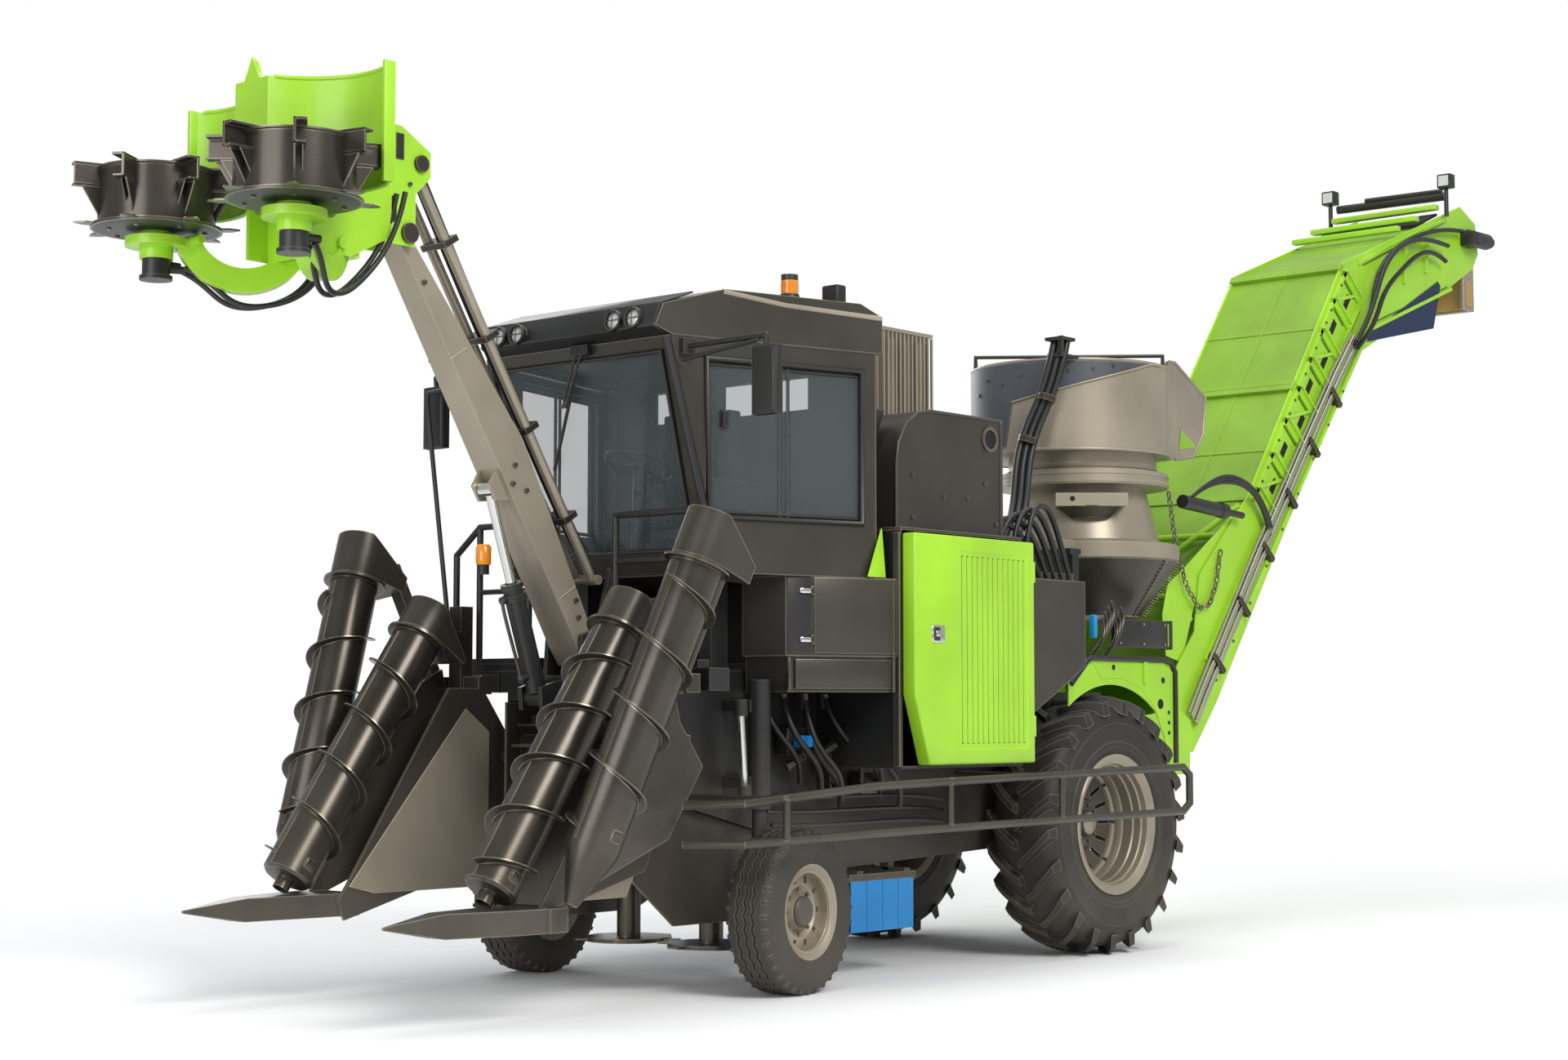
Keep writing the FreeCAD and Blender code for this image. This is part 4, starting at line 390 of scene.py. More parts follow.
def plate(name, plane, corners, start, end):
    """A sheet cut to an outline: a filled ring whose corners are moved, then extruded."""
    fresh()
    bpy.ops.mesh.primitive_circle_add(vertices=len(corners), radius=1, fill_type="NGON")
    piece = bpy.context.object
    piece.name = name
    put = PLANES[plane]
    for vertex, (a, b) in zip(piece.data.vertices, corners):
        vertex.co = put(a, b, start)
    bpy.ops.object.mode_set(mode="EDIT")
    bpy.ops.mesh.select_all(action="SELECT")
    bpy.ops.mesh.extrude_region_move(TRANSFORM_OT_translate={"value": put(0, 0, end - start)})
    bpy.ops.mesh.select_all(action="SELECT")
    bpy.ops.mesh.normals_make_consistent(inside=False)
    bpy.ops.object.mode_set(mode="OBJECT")
    return piece


def turn_up(name, profile, place=(0, 0, 0), run=(0, 0, 1), steps=64):
    """A turned part: an open or closed profile of (radius, height) spun about its axis."""
    fresh()
    bpy.ops.mesh.primitive_circle_add(vertices=len(profile), radius=1, fill_type="NOTHING")
    piece = bpy.context.object
    piece.name = name
    for vertex, (r, z) in zip(piece.data.vertices, profile):
        vertex.co = (r, 0, z)
    bpy.ops.object.mode_set(mode="EDIT")
    bpy.ops.mesh.select_all(action="SELECT")
    bpy.ops.mesh.spin(steps=steps, angle=2 * math.pi, center=(0, 0, 0), axis=(0, 0, 1))
    bpy.ops.mesh.select_all(action="SELECT")
    bpy.ops.mesh.remove_doubles(threshold=0.0001)
    bpy.ops.mesh.normals_make_consistent(inside=False)
    bpy.ops.object.mode_set(mode="OBJECT")
    lay(piece, place, run)
    return piece


def soften(piece, width=0.004, segments=2, angle=40):
    hold(piece)
    modifier = piece.modifiers.new("round", "BEVEL")
    modifier.width = width
    modifier.segments = segments
    modifier.limit_method = "ANGLE"
    modifier.angle_limit = math.radians(angle)
    bpy.ops.object.modifier_apply(modifier=modifier.name)
    return piece


def carve(piece, tool):
    """Cuts a tool out of a piece and throws the tool away."""
    hold(piece)
    modifier = piece.modifiers.new("carve", "BOOLEAN")
    modifier.object = tool
    modifier.operation = "DIFFERENCE"
    modifier.solver = "EXACT"
    bpy.ops.object.modifier_apply(modifier=modifier.name)
    bpy.data.objects.remove(tool)
    return piece


def twin(piece, name, matrix):
    """A copy with its own mesh, moved by a matrix."""
    other = piece.copy()
    other.data = piece.data.copy()
    other.name = name
    bpy.context.scene.collection.objects.link(other)
    other.matrix_world = matrix
    hold(other)
    bpy.ops.object.transform_apply(location=True, rotation=True, scale=True)
    if matrix.determinant() < 0:
        bpy.ops.object.mode_set(mode="EDIT")
        bpy.ops.mesh.select_all(action="SELECT")
        bpy.ops.mesh.normals_make_consistent(inside=False)
        bpy.ops.object.mode_set(mode="OBJECT")
    return other


def join(name, pieces):
    fresh()
    for piece in pieces:
        piece.select_set(True)
    bpy.context.view_layer.objects.active = pieces[0]
    if len(pieces) > 1:
        bpy.ops.object.join()
    piece = bpy.context.object
    piece.name = name
    return piece


def line(name, points, radius, bent=True, closed=False, sides=4):
    """A bent tube or hose along a few chosen points."""
    curve = bpy.data.curves.new(name, "CURVE")
    curve.dimensions = "3D"
    curve.bevel_depth = radius
    curve.bevel_resolution = sides
    curve.use_fill_caps = True
    curve.resolution_u = 8
    spline = curve.splines.new("NURBS" if bent else "POLY")
    spline.points.add(len(points) - 1)
    for point, place in zip(spline.points, points):
        point.co = (*place, 1)
    spline.use_cyclic_u = closed
    if bent:
        spline.order_u = min(4, len(points))
        spline.use_endpoint_u = not closed
    piece = bpy.data.objects.new(name, curve)
    bpy.context.scene.collection.objects.link(piece)
    hold(piece)
    bpy.ops.object.convert(target="MESH")
    return bpy.context.object


def done(piece, body, material, smooth=35):
    """Shades a finished piece, gives it its finish and lets it ride on a body."""
    hold(piece)
    piece.data.materials.clear()
    piece.data.materials.append(material)
    bpy.ops.object.shade_smooth_by_angle(angle=math.radians(smooth))
    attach(piece, body)
    return piece


SIDES = (("left", 1), ("right", -1))


# Scroll augers

# kind, foot, top, hand on the left side, one turn
AUGERS = (("inner", (4.610, 0.712, 0.587), (3.800, 0.712, 1.755), 1, 0.275),
          ("outer", (4.280, 1.020, 0.770), (3.800, 1.215, 2.060), -1, 0.300))


def scroll(name, tube, height, thick, turn_length, length, hand, start):
    """A flight wound on a tube: its section is swept round and up the axis."""
    fresh()
    bpy.ops.mesh.primitive_plane_add(size=1)
    piece = bpy.context.object
    piece.name = name
    section = ((tube - 0.006, -thick), (tube + height, -thick * 0.45), (tube + height, thick * 0.45),
               (tube - 0.006, thick))
    order = (0, 1, 3, 2)
    for index, (r, z) in zip(order, section):
        piece.data.vertices[index].co = (r, 0, start + z)
    bpy.ops.object.mode_set(mode="EDIT")
    bpy.ops.mesh.select_all(action="SELECT")
    bpy.ops.mesh.delete(type="ONLY_FACE")
    bpy.ops.object.mode_set(mode="OBJECT")
    turns = length / turn_length
    modifier = piece.modifiers.new("wind", "SCREW")
    modifier.axis = "Z"
    modifier.angle = hand * 2 * math.pi * turns
    modifier.screw_offset = length
    modifier.steps = modifier.render_steps = int(40 * turns)
    bpy.ops.object.modifier_apply(modifier=modifier.name)
    bpy.ops.object.mode_set(mode="EDIT")
    bpy.ops.mesh.select_mode(type="EDGE")
    bpy.ops.mesh.select_all(action="DESELECT")
    bpy.ops.mesh.select_non_manifold()
    bpy.ops.mesh.fill()
    bpy.ops.mesh.select_all(action="SELECT")
    bpy.ops.mesh.normals_make_consistent(inside=False)
    bpy.ops.object.mode_set(mode="OBJECT")
    return piece


def make_augers():
    tube = 0.125
    for side, sign in SIDES:
        for kind, foot, top, hand, turn_length in AUGERS:
            foot = Vector((foot[0], sign * foot[1], foot[2]))
            top = Vector((top[0], sign * top[1], top[2]))
            length = (top - foot).length
            name = f"auger_{kind}_{side}"
            if kind == "inner":
                profile = ((0.030, -0.06), (0.040, -0.06), (0.040, -0.004), (0.112, 0), (tube, 0.014),
                           (tube, length - 0.026),
                           (tube + 0.034, length - 0.024), (tube + 0.034, length - 0.014),
                           (tube, length - 0.012),
                           (tube, length), (0.030, length))
            else:
                profile = ((0.004, -0.268), (0.030, -0.262), (tube, 0), (tube, length - 0.026),
                           (tube + 0.034, length - 0.024), (tube + 0.034, length - 0.014),
                           (tube, length - 0.012),
                           (tube, length), (0.030, length))
            body = turn_up(name + "_tube", profile, steps=48)
            flight = scroll(name + "_flight", tube, 0.040, 0.007, turn_length, length - 0.19, hand * sign,
                            0.07)
            seam = block(name + "_seam", (tube - 0.003, -0.007, 0.02), (tube + 0.0025, 0.007, length - 0.05))
            hatch = block(name + "_hatch", (-0.032, tube - 0.012, 0.055), (0.032, tube + 0.006, 0.105))
            soften(hatch, 0.012, 3)
            piece = join(name + "_dressed", [body, flight, seam, hatch])
            lay(piece, foot, top - foot)
            done(piece, name, STEEL)
            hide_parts(name)


def around(name, piece, count):
    """A ring of copies about the Z axis, joined into one piece."""
    pieces = [piece]
    for i in range(1, count):
        pieces.append(twin(piece, f"{name}_{i}", Matrix.Rotation(2 * math.pi * i / count, 4, "Z")))
    return join(name, pieces)


def slab(name, cells, place_of):
    """A grid strip with thickness whose corners are set by a rule of along, across and up."""
    fresh()
    bpy.ops.mesh.primitive_grid_add(x_subdivisions=cells[0], y_subdivisions=cells[1], size=2)
    piece = bpy.context.object
    piece.name = name
    bpy.ops.object.mode_set(mode="EDIT")
    bpy.ops.mesh.select_all(action="SELECT")
    bpy.ops.mesh.extrude_region_move(TRANSFORM_OT_translate={"value": (0, 0, 1)})
    bpy.ops.object.mode_set(mode="OBJECT")
    for vertex in piece.data.vertices:
        x, y, z = vertex.co
        vertex.co = place_of((x + 1) / 2, y, z > 0.5)
    bpy.ops.object.mode_set(mode="EDIT")
    bpy.ops.mesh.select_all(action="SELECT")
    bpy.ops.mesh.normals_make_consistent(inside=False)
    bpy.ops.object.mode_set(mode="OBJECT")
    return piece


# Wheels

OUT = {1: Matrix.Rotation(math.radians(-90), 4, "X"), -1: Matrix.Rotation(math.radians(90), 4, "X")}


def bar_lug(along, across, top):
    """One corner of a tractor lug: the middle end leads as the wheel rolls ahead."""
    half = (0.019 if top else 0.031) * (1 + 0.2 * along)
    r = 0.740 - 0.032 * along ** 4 if top else 0.688 - 0.06 * along ** 3
    a = (across * half - 0.180 * along ** 1.2) / 0.74
    return (r * math.cos(a), r * math.sin(a), 0.006 + (0.206 + (0.006 if not top else 0)) * along)


def make_rear_wheels():
    half = ((0.366, 0.150), (0.401, 0.150), (0.401, 0.190), (0.418, 0.200), (0.440, 0.203), (0.446, 0.209),
            (0.470, 0.211),
            (0.476, 0.206), (0.520, 0.212), (0.580, 0.214), (0.586, 0.209), (0.630, 0.203), (0.668, 0.182),
            (0.690, 0.140),
            (0.699, 0.07))
    profile = [(r, -z) for r, z in half] + [(r, z) for r, z in reversed(half)]
    tyre = turn_up("rear_tyre", profile, steps=96)
    count = 22
    one = slab("lug", (8, 1), bar_lug)
    other = twin(one, "lug_back", Matrix.Rotation(math.pi / count, 4, "Z") @ Matrix.Scale(-1, 4, (0, 0, 1)))
    tyre = join("rear_tyre", [tyre, around("lugs", one, count), around("lugs_back", other, count)])

    rings = ((0.364, -0.155), (0.364, 0.155), (0.400, 0.174), (0.402, 0.200), (0.394, 0.206), (0.358, 0.193),
             (0.346, 0.182),
             (0.342, 0.150), (0.334, 0.143), (0.334, 0.098), (0.327, 0.090), (0.327, 0.028), (0.319, 0.018),
             (0.316, -0.026),
             (0.300, -0.034), (0.290, -0.074), (0.338, -0.058), (0.340, -0.150), (0.358, -0.190),
             (0.394, -0.206),
             (0.402, -0.200), (0.400, -0.174))
    rim = turn_up("rear_rim", rings, steps=96)
    disc = turn_up("rear_disc",
                   ((0.066, -0.128), (0.190, -0.128), (0.318, -0.064), (0.318, -0.040), (0.196, -0.094),
                                 (0.180, -0.102), (0.066, -0.102)), steps=72)
    slot = block("slot", (0.215, -0.011, -0.2), (0.288, 0.011, 0.1))
    carve(disc, around("slots", slot, 16))
    hub = turn_up("rear_hub",
                  ((0.066, -0.126), (0.172, -0.126), (0.172, -0.092), (0.160, -0.084), (0.150, -0.080),
                   (0.146, -0.040),
                               (0.132, -0.026), (0.080, -0.022), (0.070, 0.004), (0.066, 0.006)), steps=48)
    cap = turn_up("rear_cap",
                  ((0.002, -0.04), (0.064, -0.04), (0.064, 0.014), (0.050, 0.024), (0.002, 0.026)), steps=32)
    studs = around("rear_studs", rod("stud", (0.160, 0, -0.09), (0.160, 0, -0.058), 0.010, sides=6), 14)
    bolts = around("hub_bolts", rod("bolt", (0.108, 0, -0.03), (0.108, 0, -0.010), 0.008, sides=6), 10)
    weights = around("rim_bolts", rod("bolt", (0.304, 0, -0.05), (0.304, 0, -0.016), 0.009, sides=6), 8)
    for side, sign in SIDES:
        body = f"wheel_rear_{side}"
        place = Matrix.Translation((0, sign * 0.7765, 0.74)) @ OUT[sign]
        level = Matrix.Translation((0, sign * 0.7765, 0.74)) @ OUT[1]
        done(twin(tyre, f"rear_tyre_{side}", level), body, TYRE)
        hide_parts(f"tyre_rear_{side}")
        done(twin(rim, f"rear_rim_{side}", place), body, BEIGE)
        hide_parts(f"rim_rear_{side}")
        for piece, finish in ((disc, DARK), (hub, BLACK), (cap, BEIGE), (studs, STEEL), (bolts, STEEL),
                              (weights, STEEL)):
            done(twin(piece, f"{piece.name}_{side}", place), body, finish)
    for piece in (tyre, rim, disc, hub, cap, studs, bolts, weights):
        bpy.data.objects.remove(piece)


def make_front_wheels():
    half = ((0.210, 0.084), (0.233, 0.084), (0.233, 0.120), (0.246, 0.1235), (0.262, 0.1255), (0.268, 0.1285),
            (0.322, 0.131),
            (0.362, 0.125), (0.386, 0.110), (0.398, 0.096), (0.4028, 0.086), (0.4028, 0.054), (0.390, 0.050),
            (0.390, 0.041),
            (0.4028, 0.037), (0.4028, 0.007), (0.390, 0.003))
    profile = [(r, -z) for r, z in half] + [(r, z) for r, z in reversed(half)]
    steps = 72
    tyre = turn_up("front_tyre", profile, steps=steps)
    for vertex in tyre.data.vertices:
        x, y, z = vertex.co
        if math.hypot(x, y) > 0.387 and abs(z) < 0.06:
            turn = round(math.atan2(y, x) / (2 * math.pi / steps))
            vertex.co.z = z + (0.007 if turn % 2 else -0.007)
    tab = block("tab", (0.352, -0.010, 0.100), (0.3995, 0.010, 0.124))
    for vertex in tab.data.vertices:
        if vertex.co.x > 0.38:
            vertex.co.z -= 0.012
    tabs = around("tabs", soften(tab, 0.004, 2), 36)
    back = twin(tabs, "tabs_back", Matrix.Rotation(math.pi / 36, 4, "Z") @ Matrix.Scale(-1, 4, (0, 0, 1)))
    tyre = join("front_tyre", [tyre, tabs, back])
    nuts = around("front_nuts", rod("nut", (0.112, 0, 0.028), (0.112, 0, 0.056), 0.010, sides=6), 8)
    cap = turn_up("front_cap",
                  ((0.002, 0.02), (0.078, 0.02), (0.078, 0.078), (0.066, 0.090), (0.030, 0.094),
                   (0.002, 0.094)), steps=40)
    ring = turn_up("front_ring",
                   ((0.190, 0.095), (0.205, 0.112), (0.233, 0.124), (0.236, 0.116), (0.212, 0.104),
                    (0.196, 0.088)),
                   steps=64)
    steer = Matrix.Rotation(math.radians(7.5), 4, "Z")
    for side, sign in SIDES:
        body = f"wheel_front_{side}"
        turn = math.radians(7.5)
        place = Matrix.Translation((2.783 - sign * 0.1855 * math.sin(turn),
                                    sign * (0.69 + 0.1855 * math.cos(turn)), 0.403)) @ steer
        done(twin(tyre, f"front_tyre_{side}", place @ OUT[1]), body, TYRE)
        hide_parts(f"tyre_front_{side}")
        for piece, finish in ((nuts, STEEL), (cap, BLACK), (ring, BEIGE)):
            done(twin(piece, f"{piece.name}_{side}", place @ OUT[sign]), body, finish)
    for piece in (tyre, nuts, cap, ring):
        bpy.data.objects.remove(piece)


# Topper

def make_topper_drums():
    shell = turn_up("drum_shell",
                    ((0.05, 0.0), (0.292, 0.0), (0.294, 0.012), (0.262, 0.018), (0.260, 0.256),
                     (0.268, 0.262),
                                   (0.268, 0.270), (0.240, 0.270), (0.236, 0.262), (0.08, 0.250),
                                   (0.05, 0.250)), steps=64)
    floor_ring = turn_up("drum_under", ((0.06, -0.008), (0.250, -0.008), (0.286, 0.001), (0.06, 0.001)),
                         steps=48)
    channel = [block("web", (0.165, -0.006, 0.176), (0.374, 0.006, 0.282)),
               block("top", (0.165, -0.006, 0.270), (0.374, 0.052, 0.282)),
               block("low", (0.190, -0.006, 0.176), (0.374, 0.046, 0.186)),
               plate("gusset", "XZ", ((0.25, 0.182), (0.345, 0.182), (0.258, 0.035)), -0.004, 0.004),
               plate("side_gusset", "XZ", ((0.25, 0.182), (0.318, 0.182), (0.258, 0.080)), 0.030, 0.036)]
    paddle = join("paddle", channel)
    paddles = around("paddles", soften(paddle, 0.002, 1), 7)
    knife = plate("knife", "XY",
                  ((0.20, -0.034), (0.330, -0.034), (0.374, 0.004), (0.330, 0.030), (0.20, 0.030)), 0.003,
                  0.011)
    knives = around("knives",
                    join("knife", [knife, rod("knife_bolt", (0.27, 0, 0.010), (0.27, 0, 0.024), 0.012,
                                              sides=6)]), 7)
    rim_bolts = around("rim_bolts", rod("bolt", (0.215, 0, -0.016), (0.215, 0, -0.006), 0.011, sides=6), 7)
    for side, sign in SIDES:
        place = Matrix.Translation((5.56, sign * 0.495, 3.545))
        if sign < 0:
            place = place @ Matrix.Scale(-1, 4, (0, 1, 0)) @ Matrix.Rotation(math.radians(20), 4, "Z")
        body = f"topper_drum_{side}"
        done(twin(shell, f"drum_shell_{side}", place), body, STEEL)
        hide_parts(body)
        for piece, finish in ((paddles, STEEL), (knives, STEEL), (rim_bolts, STEEL), (floor_ring, BLACK)):
            done(twin(piece, f"{piece.name}_{side}", place), body, finish)
    for piece in (shell, paddles, knives, rim_bolts, floor_ring):
        bpy.data.objects.remove(piece)


def make_topper_head():
    body = "topper_head"
    for side, sign in SIDES:
        # motor and its fittings under the drum
        x, y, z = 5.56, sign * 0.495, 3.545
        done(join(f"drum_motor_{side}", [rod("can", (x, y, z - 0.21), (x, y, z - 0.125), 0.062),
                                         rod("plate", (x, y, z - 0.225), (x, y, z - 0.205), 0.074),
                                         rod("port", (x - 0.02, y, z - 0.17),
                                             (x - 0.12, y - sign * 0.05, z - 0.17), 0.018),
                                         rod("port2", (x - 0.02, y, z - 0.145),
                                             (x - 0.13, y + sign * 0.01, z - 0.145), 0.018)]),
             body, BLACK)
        for k, off in enumerate((-0.030, 0.030)):
            points = [(x - 0.11, y - sign * 0.03 + off, z - 0.16),
                      (x - 0.20, y - sign * 0.09 + off, z - 0.20),
                      (x - 0.26, y - sign * 0.15 + off, z - 0.33),
                      (x - 0.42, y - sign * 0.24 + off, z - 0.33),
                      (x - 0.62, y - sign * 0.34 + off, z - 0.24),
                      (x - 0.76, y - sign * 0.26 + off, z - 0.02),
                      (x - 0.80, y - sign * 0.25 + off, z + 0.20)]
            done(line(f"arm_hose_{side}_{k}", points, 0.013), body, BLACK)
        # two round bosses on the bowed arm
        strips = [rod("boss", (5.458, sign * 0.30, 3.50), (5.458, sign * 0.53, 3.50), 0.022),
                  rod("boss2", (5.08, sign * 0.10, 3.47), (5.08, sign * 0.24, 3.47), 0.026)]
        done(join(f"arm_boss_{side}", strips), body, LIME)
        # fork plate with two slotted windows and rows of bolts
        outer = sign * 0.1165
        pieces = []
        for cx, cz in ((4.66, 4.00), (4.70, 3.70)):
            slot = block("slot", (cx - 0.024, min(outer, outer + sign * 0.003), cz - 0.062),
                         (cx + 0.024, max(outer, outer + sign * 0.003), cz + 0.062))
            pieces.append(soften(slot, 0.02, 4))
        # black patches in the slotted windows: painted shade
        done(join(f"fork_slots_{side}", pieces), body, BLACK)
        bolts = [rod("bolt", (cx, outer - sign * 0.001, cz), (cx, outer + sign * 0.012, cz), 0.011, sides=6)
                 for cx, cz in ((4.765, 3.57), (4.765, 3.70), (4.765, 3.84), (4.765, 3.98), (4.765, 4.07),
                                (4.60, 3.83))]
        pins = [rod("pin", (4.6007, outer, 3.5993), (4.6007, outer + sign * 0.018, 3.5993), 0.048),
                rod("pin2", (4.534, outer, 3.937), (4.534, outer + sign * 0.018, 3.937), 0.040)]
        done(join(f"fork_bolts_{side}", bolts + pins), body, STEEL)
        # shield: rolled rims, lower flange and standing ribs
        arc = [(5.56 - 0.409 * math.sin(a), sign * 0.495 + 0.409 * math.cos(a)) for a in
               [math.radians(8 + 164 * i / 20) for i in range(21)]]
        arc = [(px, py) for px, py in arc if 0.02 < sign * py < 0.69 and px < 5.42]
        top = line(f"shield_rim_{side}", [(px, py, 4.183) for px, py in arc], 0.012, bent=False)
        low = line(f"shield_foot_{side}", [(px, py, 3.665) for px, py in arc], 0.012, bent=False)
        done(join(f"shield_rims_{side}", [top, low]), body, LIME)
        edge = block(f"shield_edge_{side}", (5.19, sign * 0.700 - 0.010, 3.66),
                     (5.25, sign * 0.700 + 0.010, 4.19))
        done(soften(edge, 0.004, 2), body, LIME)
        ribs = [block("rib", (px - 0.035, py - 0.006, 3.72), (px + 0.0, py + 0.006, 4.14))
                for px, py in arc[2:-1:3]]
        done(join(f"shield_ribs_{side}", ribs), body, LIME)
    hoop = line("lift_eye", [(5.402, -0.035, 4.17), (5.405, -0.03, 4.25), (5.405, 0.0, 4.285),
                             (5.405, 0.03, 4.25), (5.402, 0.035, 4.17)],
                0.010)
    done(hoop, body, LIME)
    for k, off in enumerate((-0.026, -0.009, 0.009, 0.026)):
        points = [(4.80, off, 4.02), (4.72, off, 4.16), (4.55, off * 1.2, 4.10), (4.46, off * 1.2, 3.94)]
        done(line(f"head_hose_{k}", points, 0.014), body, BLACK)


def make_boom_fittings():
    # hoses clipped on the levelling rods
    foot, top = Vector((3.333, 0, 2.038)), Vector((4.534, 0, 3.937))
    run = (top - foot).normalized()
    up = Vector((-run.z, 0, run.x))
    for k, y in enumerate((-0.03, 0.0, 0.03)):
        points = [foot + run * t + up * (0.035 + bump) + Vector((0, y, 0))
                  for t, bump in ((0.08, 0.02), (0.4, 0.004), (0.9, 0.012), (1.4, 0.0), (1.8, 0.010),
                                  (2.15, 0.02))]
        done(line(f"boom_hose_{k}", [tuple(p) for p in points], 0.013), "level_rod", BLACK)
    clips = []
    for t in (0.35, 0.85, 1.35, 1.85):
        c = foot + run * t
        clip = block("clip", (-0.085, -0.016, -0.034), (0.085, 0.016, 0.062))
        clip.matrix_world = Matrix.Translation(c) @ Matrix(((0, run.x, up.x, 0), (1, 0, 0, 0),
                (0, run.z, up.z, 0), (0, 0, 0, 1)))
        clips.append(settle(clip))
    done(join("hose_clips", clips), "level_rod", STEEL)
    # seams and bolts on the boom
    pivot = Vector((3.4, 0, 1.7))
    angle = math.radians(57.7)
    along = Vector((math.cos(angle), 0, math.sin(angle)))
    over = Vector((-along.z, 0, along.x))
    for side, sign in SIDES:
        bolts = []
        for t, h in ((0.16, 0.02), (0.24, 0.05), (0.86, 0.05), (1.0, 0.05), (0.93, -0.01), (2.0, 0.0)):
            y = sign * (0.1 - 0.03 * t / 2.247 + 0.001)
            c = pivot + along * t + over * h + Vector((0, y, 0))
            bolts.append(rod("bolt", c, c + Vector((0, sign * 0.012, 0)), 0.013, sides=6))
        done(join(f"boom_bolts_{side}", bolts), "boom", STEEL)
        seam = []
        for t in (0.30, 1.62):
            y = sign * (0.1 - 0.03 * t / 2.247)
            a = pivot + along * t + over * -0.042 + Vector((0, y, 0))
            b = pivot + along * t + over * (0.085 if t < 1 else 0.075) + Vector((0, y, 0))
            seam.append(rod("weld", a, b, 0.005, sides=8))
        done(join(f"boom_welds_{side}", seam), "boom", BEIGE)
    # lift cylinder: gland, ports and steel pipes
    foot, eye = Vector((3.64, 0, 1.45)), Vector((3.978, 0, 2.455))
    run = (eye - foot).normalized()
    side_way = Vector((0, 1, 0))
    front = run.cross(side_way) * -1
    pieces = [rod("gland", foot + run * 0.56, foot + run * 0.585, 0.056),
              rod("collar", foot + run * 0.50, foot + run * 0.53, 0.060),
              rod("port", foot + run * 0.52, foot + run * 0.52 + front * 0.09, 0.020),
              rod("port_low", foot + run * 0.12, foot + run * 0.12 + front * 0.09, 0.020)]
    for piece in pieces[:2]:
        hole = rod("hole", foot + run * 0.4, foot + run * 0.7, 0.036)
        carve(piece, hole)
    done(join("ram_fittings", pieces), "boom_cylinder", BLACK)
    pipe = line("ram_pipe", [tuple(foot + run * 0.52 + front * 0.085),
                             tuple(foot + run * 0.44 + front * 0.10),
                             tuple(foot + run * 0.2 + front * 0.075),
                             tuple(foot + run * 0.12 + front * 0.085)], 0.009)
    done(pipe, "boom_cylinder", STEEL)


# Cab

def wall_y(x):
    return 0.985 - (x - 2.21) * 0.2924


def windscreen_x(z):
    return 3.10 + 0.2511 * (z - 2.06)


def frame_line(name, corners, radius, body, finish):
    return done(line(name, corners, radius, bent=False, closed=True), body, finish)


